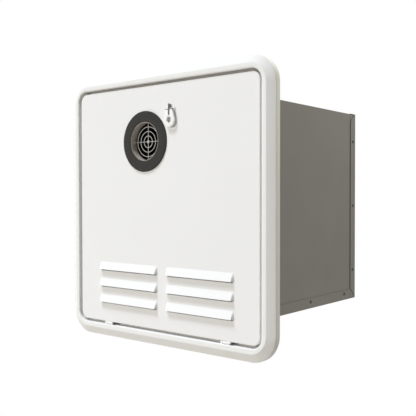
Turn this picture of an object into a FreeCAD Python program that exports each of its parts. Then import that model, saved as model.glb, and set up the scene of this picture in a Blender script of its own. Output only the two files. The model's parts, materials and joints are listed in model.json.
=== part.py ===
import FreeCAD, Part
import math
import os
import re

import Sketcher

# A recessed gas water heater with a hinged access door, as a parametric FreeCAD document.
#
# Frame of the model, in millimetres: X to the right, Y into the wall, Z up. The origin is the centre of the
# trim frame on the outer surface of the wall. Everything at negative Y stands proud of the wall.

V = FreeCAD.Vector

# Driving dimensions: alias, millimetres (or a count or an angle), meaning.
SIZES = [
    # trim frame
    ("frame_half", 207.3, "half the outer width of the square trim frame"),
    ("frame_corner", 40.0, "outer corner radius of the trim frame"),
    ("frame_deep", 15.0, "how far the rim stands proud of the wall"),
    ("frame_wall", 2.8, "wall of the hollow behind the bevel"),
    ("bevel_wide", 12.1, "width of the bevel outside the flat rim"),
    ("bevel_fall", 6.05, "depth of that bevel"),
    ("rim_round", 1.5, "radius along the inner edge of the rim"),
    ("bevel_round", 1.0, "radius along both edges of the bevel"),
    ("opening_half", 187.6, "half the opening that the door sits in"),
    ("opening_corner", 17.0, "corner radius of that opening"),
    ("ledge_thick", 2.4, "thickness of the ledge behind the door"),
    ("mouth_half", 153.0, "half the clear mouth inside the ledge"),
    ("mouth_corner", 5.0, "corner radius of the mouth"),
    ("groove_in", 190.0, "inner half width of the hollow at the back"),
    ("groove_deep", 6.0, "depth of that hollow"),
    ("wall_screw_at", 173.0, "wall screw holes from the centre lines"),
    ("wall_screw_bore", 2.4, "radius of a wall screw hole"),
    ("frame_screw_at", 160.2, "casing screws from the centre lines"),
    ("frame_screw_side", 80.0, "casing screws along each side"),
    # casing
    ("casing_half", 155.5, "half the width of the casing"),
    ("casing_top", 157.8, "top of the casing"),
    ("casing_low", -157.6, "underside of the casing"),
    ("casing_deep", 301.3, "back of the casing behind the wall surface"),
    ("sheet_thick", 0.8, "sheet metal of the casing"),
    ("seam_lap", 16.0, "folded flanges of the back panel and the bottom pan"),
    ("mitre_gap", 1.6, "open mitre between those flanges at the lower rear corners"),
    ("front_lip", 166.0, "outer half width of the casing's front flange"),
    ("corner_cut", 13.0, "chamfer of the back panel's upper corners"),
    ("rivet_shank", 1.6, "radius of a rivet's shank"),
    ("rivet_head", 2.5, "radius of a rivet's head"),
    ("rivet_high", 1.0, "height of a rivet's head"),
    ("rivet_inside", 1.0, "rivet tail inside the casing"),
    ("back_rivet_inset", 7.8, "rivets from the rear edge"),
    ("pan_rivet_inset", 10.0, "rivets above the underside"),
    ("side_rivet_step", 109.5, "spacing of the rivets up the rear edge"),
    ("pan_rivet_first", 53.5, "first pan rivet behind the wall surface"),
    ("pan_rivet_step", 105.5, "spacing of the pan rivets"),
    ("top_rivet_step", 100.0, "spacing of the rivets across the top"),
    # door
    ("door_half", 183.7, "half the width of the square door"),
    ("door_corner", 13.0, "corner radius of the door"),
    ("door_face", 12.5, "door face in front of the wall surface"),
    ("door_skin", 2.0, "thickness of the door panel and its flange"),
    ("door_back", 3.0, "edge of the door flange in front of the wall surface"),
    ("door_round", 1.2, "radius along the front edge of the door"),
    ("hinge_front", 11.9, "hinge axis in front of the wall surface"),
    ("hinge_low", 185.6, "hinge axis below the centre"),
    ("hinge_left", -114.5, "middle of the left hinge's knuckle"),
    ("hinge_right", 126.8, "middle of the right hinge's knuckle"),
    ("knuckle_half", 6.3, "half the width of a knuckle"),
    ("knuckle_radius", 1.85, "outer radius of knuckles and lugs"),
    ("hinge_pin", 1.0, "radius of a hinge pin"),
    ("running_gap", 0.05, "radial clearance of turning pins"),
    ("lug_wide", 4.0, "width of a hinge lug"),
    ("lug_play", 0.4, "side play between a knuckle and its lug"),
    ("pin_past", 1.5, "hinge pin beyond the free end of its knuckle"),
    ("slot_wide", 7.8, "open slot beside each knuckle, where it slides off its pin"),
    ("slot_deep", 3.4, "depth of that slot"),
    ("strap_thick", 0.9, "thickness of a hinge strap"),
    ("louvre_middle", 1.4, "middle of the two columns of louvres, right of the centre line"),
    ("louvre_in", 9.2, "inner end of a louvre from the middle of the two columns"),
    ("louvre_out", 138.2, "outer end of a louvre from the middle of the two columns"),
    ("louvre_top", -87.9, "upper edge of the top louvre"),
    ("louvre_high", 12.2, "height of a louvre"),
    ("louvre_pitch", 26.1, "spacing of the louvres"),
    ("louvre_rows", 3, "louvres in each column"),
    ("louvre_proud", 4.8, "how far a louvre's lip stands proud"),
    ("louvre_lip", 0.6, "thickness of the lip"),
    ("louvre_slot", 2.2, "open slot in the door panel below a louvre's lip"),
    ("louvre_taper", 2.4, "how far each end leans in"),
    ("louvre_wall", 1.5, "wall of a louvre"),
    ("seal_in", 164.0, "inner half width of the door seal"),
    ("seal_out", 168.5, "outer half width of the door seal"),
    ("seal_front", 9.9, "front of the seal before the wall surface"),
    # exhaust
    ("outlet_x", -33.4, "exhaust axis"),
    ("outlet_z", 100.2, "exhaust axis"),
    ("bezel_radius", 46.0, "outer radius of the exhaust bezel"),
    ("bezel_bore", 30.2, "bore of the bezel"),
    ("bezel_proud", 2.0, "how far the bezel stands proud of the door"),
    ("bezel_spigot", 34.0, "radius of the bezel's spigot through the door"),
    ("spigot_back", 8.6, "back of the spigot before the wall surface"),
    ("bezel_round", 1.0, "radius along the bezel's front edges"),
    ("retainer_radius", 42.0, "outer radius of the bezel's retaining ring"),
    ("retainer_thick", 1.4, "thickness of that ring"),
    ("bezel_screw_at", 38.0, "radius of the bezel screws' circle"),
    ("small_shank", 1.2, "radius of a small screw"),
    ("small_head", 2.4, "radius of a small screw's head"),
    ("tube_radius", 29.6, "outer radius of the exhaust tube"),
    ("tube_wall", 1.0, "wall of the exhaust tube"),
    ("tube_front", 13.9, "front of the tube before the wall surface"),
    ("tube_flange", 38.0, "radius of the tube's rear flange"),
    ("gasket_radius", 34.5, "outer radius of the gasket on the tube"),
    ("gasket_front", 7.4, "front of that gasket before the wall surface"),
    ("gasket_back", 3.4, "back of that gasket before the wall surface"),
    ("grille_front", 6.2, "front of the grille before the wall surface"),
    ("grille_thick", 1.6, "thickness of the grille"),
    ("grille_wire", 1.2, "width of the grille's rings and bars"),
    ("grille_step", 6.9, "spacing of the grille's rings"),
    ("grille_first", 8.9, "radius of the smallest ring"),
    ("grille_boss", 2.6, "radius of the boss in the middle"),
    # latch
    ("latch_x", 21.1, "latch axis"),
    ("latch_z", 144.5, "latch axis"),
    ("spindle_radius", 3.5, "radius of the latch spindle"),
    ("collar_radius", 8.6, "radius of the latch's collar"),
    ("collar_thick", 0.8, "thickness of that collar"),
    ("blade_wide", 1.9, "width of the spindle's blade"),
    ("blade_up", 8.2, "blade above the latch axis"),
    ("blade_down", 7.6, "blade below the latch axis"),
    ("blade_front", 17.9, "front of the blade before the wall surface"),
    ("pull_axis", 15.7, "pull pin in front of the wall surface"),
    ("pull_pin", 0.75, "radius of the pull pin"),
    ("pull_pin_half", 7.4, "half the length of the pull pin"),
    ("pull_back", 14.2, "back of the pull before the wall surface"),
    ("pull_thick", 3.0, "thickness of the pull"),
    ("pull_head", 7.0, "half the width of the pull's upper end"),
    ("pull_foot", 10.6, "radius of the pull's lower end"),
    ("pull_drop", 15.4, "lower end's centre below the pin"),
    ("pull_rise", 1.7, "upper end above the pin"),
    ("pull_snap", 0.6, "half the width of the groove that the pin snaps through"),
    ("pull_clear", 1.2, "slot clear of the blade's foot"),
    ("finger_hole", 4.6, "radius of the hole in the pull"),
    ("pull_slot", 2.9, "width of the slot for the blade"),
    ("cam_front", 1.8, "front of the cam before the wall surface"),
    ("cam_thick", 2.0, "thickness of the cam"),
    ("cam_long", 20.0, "reach of the cam"),
    ("cam_half", 5.0, "half the width of the cam"),
    ("cam_square", 2.4, "half the spindle's square"),
    ("nut_half", 3.6, "half the width of the cam nut"),
    ("nut_thick", 2.2, "thickness of the cam nut"),
    ("keeper_left", 32.5, "left edge of the keeper"),
    ("keeper_right", 46.5, "right edge of the keeper"),
    ("keeper_low", 133.0, "lower end of the keeper"),
    ("keeper_high", 163.4, "upper end of the keeper"),
    ("keeper_thick", 1.2, "thickness of the keeper"),
    # door fittings
    ("screen_front", 8.8, "front of the louvre screens before the wall surface"),
    ("screen_thick", 0.8, "thickness of the louvre screens"),
    ("screen_edge", 4.0, "edge of a screen outside the louvres"),
    ("screen_bar", 2.0, "bars between the slots of a screen"),
    ("pad_half", 140.0, "half the width of the insulation pad"),
    ("pad_low", -74.0, "lower edge of the pad"),
    ("pad_high", 48.0, "upper edge of the pad"),
    ("pad_thick", 5.2, "thickness of the pad"),
    # combustion stack
    ("stack_half", 80.0, "half the width of the combustion stack"),
    ("stack_front", 62.0, "front of the stack"),
    ("stack_back", 212.0, "back of the stack"),
    ("stack_sheet", 1.0, "sheet of the stack"),
    ("hood_top", 136.0, "top of the exhaust hood"),
    ("shell_top", 62.0, "top of the heat exchanger"),
    ("shell_low", -40.0, "bottom of the combustion chamber"),
    ("tray_low", -84.0, "bottom of the burner tray"),
    ("fin_low", 22.0, "bottom of the fins"),
    ("fin_high", 56.0, "top of the fins"),
    ("fin_thick", 0.6, "thickness of a fin"),
    ("fin_count", 20, "fins across the exchanger"),
    ("pipe_radius", 6.35, "outer radius of the half inch water pipe"),
    ("pass_first", 76.0, "first pass of the exchanger pipe"),
    ("pass_step", 24.0, "spacing of the passes"),
    ("pass_count", 6, "passes of the exchanger pipe"),
    ("pass_z", 39.0, "height of the passes"),
    ("pass_out", 2.0, "straight pipe outside the shell before a bend"),
    ("bar_wide", 10.0, "width of a burner bar"),
    ("bar_count", 9, "burner bars"),
    ("bar_step", 16.0, "spacing of the burner bars"),
    ("bar_top", -46.0, "top of the burner bars"),
    ("bar_slot", 3.0, "width of the gas slot in a burner bar"),
    ("bar_slot_deep", 12.0, "depth of that slot"),
    ("bar_margin", 8.0, "burner bars clear of the tray's ends"),
    ("leg_wide", 12.0, "side of a leg under the stack"),
    ("manifold_front", 46.0, "front of the gas manifold"),
    ("manifold_back", 56.0, "back of the gas manifold"),
    ("manifold_half", 72.0, "half the length of the gas manifold"),
    ("manifold_low", -76.0, "bottom of the gas manifold"),
    ("manifold_high", -62.0, "top of the gas manifold"),
    ("manifold_post", 3.0, "radius of the manifold's posts"),
    ("nozzle_radius", 2.6, "radius of a gas nozzle"),
    ("nozzle_bore", 0.6, "radius of a nozzle's jet"),
    ("nozzle_tip", 66.0, "tip of the nozzles"),
    ("electrode_at", 23.0, "igniter and flame sensor from the exhaust axis"),
    ("electrode_z", -28.0, "height of the electrodes"),
    ("ceramic_radius", 3.0, "radius of an electrode's ceramic"),
    ("rod_radius", 1.0, "radius of an electrode's rod"),
    # blower
    ("blower_z", -118.0, "height of the blower's axis"),
    ("blower_radius", 33.6, "outer radius of the blower housing"),
    ("blower_wall", 1.5, "wall of the blower housing"),
    ("blower_front", 100.0, "front of the blower housing"),
    ("blower_back", 150.0, "back of the blower housing"),
    ("blower_inlet", 21.0, "radius of the blower's inlet"),
    ("blower_mouth", 30.0, "width of the blower's outlet"),
    ("foot_top", -148.0, "top of the blower's foot"),
    ("foot_half", 28.0, "half the width of that foot"),
    ("wheel_radius", 27.0, "outer radius of the blower wheel"),
    ("wheel_gap", 3.0, "wheel clear of the housing at each end"),
    ("wheel_disc", 1.2, "thickness of the wheel's disc and shroud"),
    ("blade_count", 24, "blades of the wheel"),
    ("blade_deep", 6.5, "radial depth of a blade"),
    ("blade_thick", 0.8, "thickness of a blade"),
    ("hub_radius", 5.0, "radius of the wheel's hub"),
    ("shaft_radius", 2.0, "radius of the blower shaft"),
    ("motor_radius", 20.0, "radius of the blower motor"),
    ("motor_back", 190.0, "back of the blower motor"),
    ("motor_bore_end", 180.0, "end of the shaft inside the motor"),
    # gas train
    ("valve_left", 66.0, "left side of the gas valve"),
    ("valve_right", 112.0, "right side of the gas valve"),
    ("valve_front", 40.0, "front of the gas valve"),
    ("valve_back", 86.0, "back of the gas valve"),
    ("valve_low", -95.0, "underside of the gas valve"),
    ("valve_high", -43.0, "top of the gas valve"),
    ("solenoid_radius", 10.0, "radius of a solenoid"),
    ("solenoid_high", 30.0, "height of a solenoid"),
    ("bracket_sheet", 1.2, "sheet of the brackets"),
    ("gas_pipe", 5.0, "outer radius of the gas pipes"),
    ("gas_x", 91.0, "gas supply pipe"),
    ("gas_z", -72.0, "gas supply pipe"),
    ("gas_nut", 12.0, "radius of the gas fitting's collar"),
    ("gas_thread", 7.94, "radius of the gas inlet's thread"),
    # water
    ("water_x", -140.0, "water pipes"),
    ("cold_z", -120.0, "cold inlet"),
    ("hot_z", -60.0, "hot outlet"),
    ("water_thread", 10.4, "radius of the water connections' thread"),
    ("water_bore", 6.5, "bore of the water connections"),
    ("thread_long", 16.0, "length of each outside thread"),
    ("collar_long", 6.0, "collar outside the back panel"),
    ("stub_long", 20.0, "length of each connection inside the back panel"),
    ("water_collar", 12.4, "radius of the water connections' collar"),
    ("sensor_radius", 12.5, "radius of the flow sensor"),
    ("sensor_front", 225.0, "front of the flow sensor"),
    ("sensor_back", 280.5, "back of the flow sensor"),
    ("sensor_bore", 9.5, "bore of the flow sensor"),
    ("sensor_cap", 5.0, "end walls of the flow sensor"),
    ("turbine_radius", 8.6, "radius of the flow turbine"),
    ("turbine_half", 12.0, "half the length of the flow turbine's blades"),
    ("turbine_pin", 1.0, "radius of the turbine's pin"),
    ("spider_hub", 2.4, "radius of the turbine's bearings"),
    ("tee_half", 10.0, "half the side of the drain tee"),
    ("riser_y", 76.0, "cold riser behind the wall surface"),
    ("drain_radius", 8.0, "radius of the drain valve"),
    ("drain_front", 34.0, "front of the drain valve's body"),
    ("drain_spout", 4.0, "radius of the drain spout"),
    ("drain_stem", 2.5, "radius of the drain valve's stem"),
    ("lever_thick", 3.0, "thickness of the drain lever"),
    ("lever_half", 4.0, "half the width of the drain lever"),
    ("lever_long", 24.0, "reach of the drain lever"),
    ("bend_radius", 14.0, "radius of the pipe bends"),
    ("clamp_half", 9.0, "half the side of a pipe clamp"),
    # electrics
    ("control_left", 66.0, "left side of the control box"),
    ("control_front", 26.0, "front of the control box"),
    ("control_back", 66.0, "back of the control box"),
    ("control_low", 8.0, "bottom of the control box"),
    ("control_high", 132.0, "top of the control box"),
    ("control_wall", 2.0, "wall of the control box"),
    ("cover_thick", 4.0, "thickness of the control box's cover"),
    ("board_front", 54.0, "front of the circuit board"),
    ("board_thick", 1.6, "thickness of the circuit board"),
    ("board_gap", 4.0, "circuit board clear of the box's sides"),
    ("switch_x", 110.0, "power switch"),
    ("switch_z", 108.0, "power switch"),
    ("switch_half_wide", 6.0, "half the width of the rocker"),
    ("switch_half_high", 10.0, "half the height of the rocker"),
    ("switch_gap", 0.4, "rocker clear of the cover"),
    ("rocker_tilt", 9.0, "tilt of the rocker at rest, in degrees"),
    ("rocker_axis", 25.0, "rocker's pivot behind the wall surface"),
    ("rocker_pin", 1.0, "radius of the rocker's pivot"),
    ("module_left", 118.0, "left side of the ignition module"),
    ("module_front", 84.0, "front of the ignition module"),
    ("module_back", 128.0, "back of the ignition module"),
    ("module_low", -34.0, "bottom of the ignition module"),
    ("module_high", -6.0, "top of the ignition module"),
    ("lead_radius", 1.8, "radius of the ignition leads"),
    ("lead_gap", 12.0, "leads clear of the stack and the manifold"),
    ("gland_x", 110.0, "cable gland"),
    ("gland_z", 70.0, "cable gland"),
    ("gland_radius", 10.0, "radius of the cable gland's dome"),
    ("gland_neck", 8.0, "radius of the cable gland's neck"),
    ("gland_bore", 3.5, "radius of the cable gland's bore"),
    ("gland_out", 14.0, "cable gland outside the back panel"),
]
ALIASES = {alias for alias, _, _ in SIZES}
COUNTS = {alias: int(value) for alias, value, _ in SIZES if isinstance(value, int)}

# Sketch plane of each axis, and which way its normal points along that axis.
PLANES = {"X": ("YZ_Plane", 1), "Y": ("XZ_Plane", -1), "Z": ("XY_Plane", 1)}
TURNS = {
    "+X": FreeCAD.Rotation(V(0, 1, 0), 90),
    "-X": FreeCAD.Rotation(V(0, 1, 0), -90),
    "+Y": FreeCAD.Rotation(V(1, 0, 0), -90),
    "-Y": FreeCAD.Rotation(V(1, 0, 0), 90),
    "+Z": FreeCAD.Rotation(),
    "-Z": FreeCAD.Rotation(V(1, 0, 0), 180),
}
SIDES = ("", "-")
HINGES = ("hinge_left", "hinge_right")

doc = FreeCAD.newDocument("WaterHeater")
sheet = doc.addObject("Spreadsheet::Sheet", "Sizes")
pieces = []


# ---------------------------------------------------------------- sizes

def fill_sheet():
    """Write each driving dimension and its meaning into the sheet."""
    for row, (alias, value, meaning) in enumerate(SIZES, start=1):
        sheet.set(f"A{row}", str(value))
        sheet.setAlias(f"A{row}", alias)
        sheet.set(f"B{row}", meaning)
    doc.recompute()


def expr(text):
    """The expression with each alias pointed at the sheet."""
    return re.sub(r"[a-z][a-z_]*", lambda word: "Sizes." + word.group() if word.group() in ALIASES
                  else word.group(), str(text))


def number(text):
    """The value of an expression."""
    value = sheet.evalExpression(expr(text))
    return float(value.Value if hasattr(value, "Value") else value)


def point(x, y, z):
    """The point at three expressions."""
    return V(number(x), number(y), number(z))


def bind(thing, **sizes):
    """Bind properties of an object to expressions."""
    for prop, text in sizes.items():
        thing.setExpression(prop.replace("__", "."), expr(text))
    return thing


# ---------------------------------------------------------------- pieces

def piece(thing, label):
    """Name an object as one piece of the heater."""
    thing.Label = label
    pieces.append(thing)
    return thing


def body(label):
    """A new PartDesign body for one piece."""
    return piece(doc.addObject("PartDesign::Body", label + "_body"), label)


# ---------------------------------------------------------------- sketch outlines

def pin_vertex(sketch, line, end, x, y):
    """Hold a vertex at two expressions from the sketch's origin."""
    for kind, text in (("DistanceX", x), ("DistanceY", y)):
        index = sketch.addConstraint(Sketcher.Constraint(kind, -1, 1, line, end, number(text)))
        sketch.setExpression(f"Constraints[{index}]", expr(text))


def polygon(*points):
    """A closed outline through points given as pairs of expressions."""
    def draw(sketch):
        first = sketch.GeometryCount
        corners = [V(number(x), number(y), 0) for x, y in points]
        for i, corner in enumerate(corners):
            sketch.addGeometry(Part.LineSegment(corner, corners[(i + 1) % len(corners)]), False)
        for i, (x, y) in enumerate(points):
            after = first + (i + 1) % len(points)
            sketch.addConstraint(Sketcher.Constraint("Coincident", first + i, 2, after, 1))
            pin_vertex(sketch, first + i, 1, x, y)
    return draw


def rectangle(left, right, low, high):
    """An upright rectangle."""
    return polygon((left, low), (right, low), (right, high), (left, high))


def square(half):
    """A square about the origin."""
    return rectangle(f"-({half})", half, f"-({half})", half)


def circle(x, y, radius):
    """A circle."""
    def draw(sketch):
        centre = V(number(x), number(y), 0)
        curve = sketch.addGeometry(Part.Circle(centre, V(0, 0, 1), number(radius)), False)
        pin_vertex(sketch, curve, 3, x, y)
        index = sketch.addConstraint(Sketcher.Constraint("Radius", curve, number(radius)))
        sketch.setExpression(f"Constraints[{index}]", expr(radius))
    return draw


def rounded(half, radius):
    """A square about the origin with round corners."""
    def draw(sketch):
        first = sketch.GeometryCount
        side, bend = number(half), number(radius)
        straight = side - bend
        for turn in range(4):
            spin = FreeCAD.Rotation(V(0, 0, 1), 90 * turn)
            start = spin.multVec(V(side, -straight, 0))
            end = spin.multVec(V(side, straight, 0))
            centre = spin.multVec(V(straight, straight, 0))
            arc = Part.Circle(centre, V(0, 0, 1), bend)
            sketch.addGeometry(Part.LineSegment(start, end), False)
            angle = math.pi / 2 * turn
            sketch.addGeometry(Part.ArcOfCircle(arc, angle, angle + math.pi / 2), False)
        for turn in range(4):
            line = first + 2 * turn
            after = first + (2 * turn + 2) % 8
            sketch.addConstraint(Sketcher.Constraint("Tangent", line, 2, line + 1, 1))
            sketch.addConstraint(Sketcher.Constraint("Tangent", line + 1, 2, after, 1))
            sketch.addConstraint(Sketcher.Constraint("Horizontal" if turn % 2 else "Vertical", line))
            if turn:
                sketch.addConstraint(Sketcher.Constraint("Equal", first + 1, line + 1))
        index = sketch.addConstraint(Sketcher.Constraint("Radius", first + 1, bend))
        sketch.setExpression(f"Constraints[{index}]", expr(radius))
        for turn, kind in enumerate(("DistanceX", "DistanceY", "DistanceX", "DistanceY")):
            sign = -1 if turn > 1 else 1
            line = first + 2 * turn
            index = sketch.addConstraint(Sketcher.Constraint(kind, -1, 1, line, 1, sign * side))
            sketch.setExpression(f"Constraints[{index}]", expr(f"{sign} * ({half})"))
    return draw


# ---------------------------------------------------------------- features

def origin_plane(owner, role):
    """A body's own origin plane."""
    return next(item for item in owner.Origin.OriginFeatures if item.Role == role)


def extrude(owner, axis, low, high, *outlines, cut=False):
    """Pad, or pocket, outlines between two levels along an axis."""
    role, facing = PLANES[axis]
    sketch = owner.newObject("Sketcher::SketchObject", owner.Label + "_sketch")
    sketch.AttachmentSupport = [(origin_plane(owner, role), "")]
    sketch.MapMode = "FlatFace"
    bind(sketch, AttachmentOffset__Base__z=low if facing > 0 else f"-({high})")
    for outline in outlines:
        outline(sketch)
    kind = "Pocket" if cut else "Pad"
    feature = owner.newObject("PartDesign::" + kind, owner.Label + "_" + kind.lower())
    feature.Profile = sketch
    feature.Reversed = cut
    return bind(feature, Length=f"({high}) - ({low})")


def pocket(owner, axis, low, high, *outlines):
    """Cut outlines out of a body between two levels."""
    return extrude(owner, axis, low, high, *outlines, cut=True)


def edges_at(feature, wanted):
    """Names of the feature's edges that a test picks out."""
    doc.recompute()
    return [f"Edge{i}" for i, edge in enumerate(feature.Shape.Edges, start=1) if wanted(edge.BoundBox)]


def level_edges(feature, level, inner="0", outer="1000"):
    """Edges that lie in the plane Y = level and reach between two half widths."""
    at, low, high = number(level), number(inner), number(outer)

    def wanted(span):
        reach = max(abs(span.XMin), abs(span.XMax), abs(span.ZMin), abs(span.ZMax))
        flat = abs(span.YMin - at) < 1e-4 and abs(span.YMax - at) < 1e-4
        return flat and low - 0.01 <= reach <= high + 0.01
    return edges_at(feature, wanted)


def fillet(owner, base, edges, radius):
    """Round edges of a body's feature."""
    feature = owner.newObject("PartDesign::Fillet", owner.Label + "_fillet")
    feature.Base = (base, edges)
    return bind(feature, Radius=radius)


def box(x, y, z):
    """A Part box between two expressions on each axis."""
    made = doc.addObject("Part::Box", "Block")
    for span, size, corner in zip((x, y, z), ("Length", "Width", "Height"), "xyz"):
        made.setExpression(size, expr(f"({span[1]}) - ({span[0]})"))
        made.setExpression("Placement.Base." + corner, expr(span[0]))
    return made


def put(thing, at, way):
    """Place a primitive with its own axis along a direction."""
    thing.Placement = FreeCAD.Placement(V(), TURNS[way])
    for corner, text in zip("xyz", at):
        thing.setExpression("Placement.Base." + corner, expr(text))
    return thing


def cylinder(radius, at, length, way):
    """A Part cylinder from a point along a direction."""
    return put(bind(doc.addObject("Part::Cylinder", "Round"), Radius=radius, Height=length), at, way)


def cone(radius, tip_radius, at, length, way):
    """A Part cone from a point along a direction."""
    made = doc.addObject("Part::Cone", "Taper")
    return put(bind(made, Radius1=radius, Radius2=tip_radius, Height=length), at, way)


def fuse(*parts):
    """The union of several objects."""
    made = doc.addObject("Part::MultiFuse", "Union")
    made.Shapes = list(parts)
    return made


def cut(base, *tools):
    """An object with other objects taken out of it."""
    made = doc.addObject("Part::Cut", "Cut")
    made.Base = base
    made.Tool = tools[0] if len(tools) == 1 else fuse(*tools)
    return made


def group(parts):
    """Separate solids that share one name."""
    made = doc.addObject("Part::Compound", "Set")
    made.Links = list(parts)
    return made


def step_back(at, way, distance):
    """The point moved against a direction."""
    sign = "-" if way[0] == "+" else "+"
    moved = list(at)
    index = "XYZ".index(way[1])
    moved[index] = f"({at[index]}) {sign} ({distance})"
    return tuple(moved)


def screw(at, way, grip, shank="small_shank", head="small_head", high="small_head / 2"):
    """A screw whose head sits at a point, with its shank along a direction."""
    rim = cone(f"({head}) * 0.7", head, step_back(at, way, high), high, way)
    return fuse(rim, cylinder(shank, at, grip, way))


def route(points, bend):
    """A wire of straight runs joined by tangent arcs."""
    corners = [point(*p) for p in points]
    radius = number(bend)
    parts = []
    start = corners[0]
    for before, corner, after in zip(corners, corners[1:], corners[2:]):
        inward = (corner - before).normalize()
        outward = (after - corner).normalize()
        turn = inward.getAngle(outward)
        reach = radius * math.tan(turn / 2)
        arc_start = corner - inward * reach
        arc_end = corner + outward * reach
        middle = corner + (outward - inward).normalize() * (radius / math.cos(turn / 2) - radius)
        parts.append(Part.LineSegment(start, arc_start).toShape())
        parts.append(Part.Arc(arc_start, middle, arc_end).toShape())
        start = arc_end
    parts.append(Part.LineSegment(start, corners[-1]).toShape())
    return Part.Wire(parts)


def rod(points, radius, bend):
    """A round solid along a route."""
    ahead = (point(*points[1]) - point(*points[0])).normalize()
    ring = Part.Wire([Part.Circle(point(*points[0]), ahead, number(radius)).toShape()])
    return route(points, bend).makePipeShell([ring], True, False)


def pipe(label, points, radius, bend):
    """A bent pipe as one feature, because its path turns in three planes."""
    made = doc.addObject("Part::Feature", label + "_sweep")
    made.Shape = rod(points, radius, bend)
    return piece(made, label)


# ---------------------------------------------------------------- trim frame and casing

def add_hinge_lugs(frame):
    """A lug left of each knuckle and an open slot right of it, on the lower wall of the opening."""
    for middle in HINGES:
        start = f"{middle} - knuckle_half - lug_play - lug_wide"
        end = f"{start} + lug_wide"
        extrude(frame, "X", start, end, rectangle(
            "-hinge_front - knuckle_radius", "-hinge_front + knuckle_radius",
            "-opening_half - rim_round", "-hinge_low"))
        extrude(frame, "X", start, end, circle("-hinge_front", "-hinge_low", "knuckle_radius"))
        pocket(frame, "X", start, end, circle("-hinge_front", "-hinge_low", "hinge_pin"))
        pocket(frame, "Z", "-opening_half - slot_deep", "-opening_half", rectangle(
            f"{middle} + knuckle_half + lug_play", f"{middle} + knuckle_half + slot_wide",
            "-hinge_front - knuckle_radius", "-groove_deep - ledge_thick"))


def screw_places(at, side):
    """The eight casing screws: two on each side of the mouth."""
    places = []
    for sign in SIDES:
        for other in SIDES:
            places.append((f"{sign}{at}", f"{other}{side}"))
            places.append((f"{other}{side}", f"{sign}{at}"))
    return places


def make_trim_frame():
    """The moulded frame: flat rim, bevel, opening for the door, ledge and mouth."""
    frame = body("trim_frame")
    block = extrude(frame, "Y", "-frame_deep", "0", rounded("frame_half", "frame_corner"))
    bevel = frame.newObject("PartDesign::Chamfer", "trim_frame_bevel")
    bevel.Base = (block, level_edges(block, "-frame_deep"))
    bevel.ChamferType = "Two distances"
    bevel.FlipDirection = True
    bind(bevel, Size="bevel_wide", Size2="bevel_fall")
    edges = level_edges(bevel, "-frame_deep")
    edges += level_edges(bevel, "-frame_deep + bevel_fall")
    fillet(frame, bevel, edges, "bevel_round")
    opening = pocket(frame, "Y", "-frame_deep", "-ledge_thick", rounded("opening_half", "opening_corner"))
    rim = level_edges(opening, "-frame_deep", "opening_half - 1", "opening_half + 1")
    fillet(frame, opening, rim, "rim_round")
    pocket(frame, "Y", "-ledge_thick", "0", rounded("mouth_half", "mouth_corner"))
    pocket(frame, "Y", "-sheet_thick", "0", square("front_lip"))
    pocket(frame, "Y", "-groove_deep", "0",
           rounded("frame_half - frame_wall", "frame_corner - frame_wall"),
           rounded("groove_in", "opening_corner + groove_in - opening_half"))
    holes = [circle(x, z, "wall_screw_bore") for x, z in wall_screw_places()]
    holes += [circle(x, z, "rivet_shank") for x, z in screw_places("frame_screw_at", "frame_screw_side")]
    holes += [circle(x, "frame_screw_at", "rivet_shank") for x in keeper_screws()]
    pocket(frame, "Y", "-ledge_thick", "0", *holes)
    add_hinge_lugs(frame)


def wall_screw_places():
    """Eight holes: the corners of a square and the middles of its sides."""
    steps = ("-wall_screw_at", "0", "wall_screw_at")
    return [(x, z) for x in steps for z in steps if (x, z) != ("0", "0")]


def keeper_screws():
    """The two screws across the keeper's upper end."""
    return ("keeper_left + keeper_thick * 3", "keeper_right - keeper_thick * 3")


def rear_rivet_heights():
    """Heights of the rivets up the rear edge."""
    return [f"{k} * side_rivet_step + 1" for k in (-1, 0, 1)]


def pan_rivet_depths():
    """Depths of the rivets along the bottom pan's flange."""
    return [f"pan_rivet_first + {k} * pan_rivet_step" for k in range(3)]


def side_rivets():
    """Rivets through each side, as (y, z) expressions: rear flange first, then the pan's."""
    rear = [("casing_deep - back_rivet_inset", z) for z in rear_rivet_heights()]
    return rear, [(y, "casing_low + pan_rivet_inset") for y in pan_rivet_depths()]


def top_rivets():
    """Rivets across the top of the rear edge, as (x, y) expressions."""
    return [(f"{k} * top_rivet_step", "casing_deep - back_rivet_inset") for k in (-1, 0, 1)]


def make_casing_wrap():
    """Top and sides in one folded sheet, with an outward flange at the front."""
    wrap = body("casing_wrap")
    outer, top = "casing_half - sheet_thick", "casing_top - sheet_thick"
    inner, low = "casing_half - 2 * sheet_thick", "casing_low + sheet_thick"
    roof = "casing_top - 2 * sheet_thick"

    def arch(side, high):
        return polygon((f"-({side})", low), (f"-({side})", high), (side, high), (side, low),
                       (inner, low), (inner, roof), (f"-({inner})", roof), (f"-({inner})", low))
    extrude(wrap, "Y", "0", "casing_deep - sheet_thick", arch(outer, top))
    extrude(wrap, "Y", "-sheet_thick", "0", arch("front_lip", "front_lip"))
    rear, pan = side_rivets()
    pocket(wrap, "X", f"-({outer})", outer, *[circle(y, z, "rivet_shank") for y, z in rear + pan])
    pocket(wrap, "Z", roof, top, *[circle(x, y, "rivet_shank") for x, y in top_rivets()])
    upper = [(x, z) for x, z in screw_places("frame_screw_at", "frame_screw_side") if z != "-frame_screw_at"]
    holes = [circle(x, z, "rivet_shank") for x, z in upper]
    holes += [circle(x, "frame_screw_at", "rivet_shank") for x in keeper_screws()]
    pocket(wrap, "Y", "-sheet_thick", "0", *holes)


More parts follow.
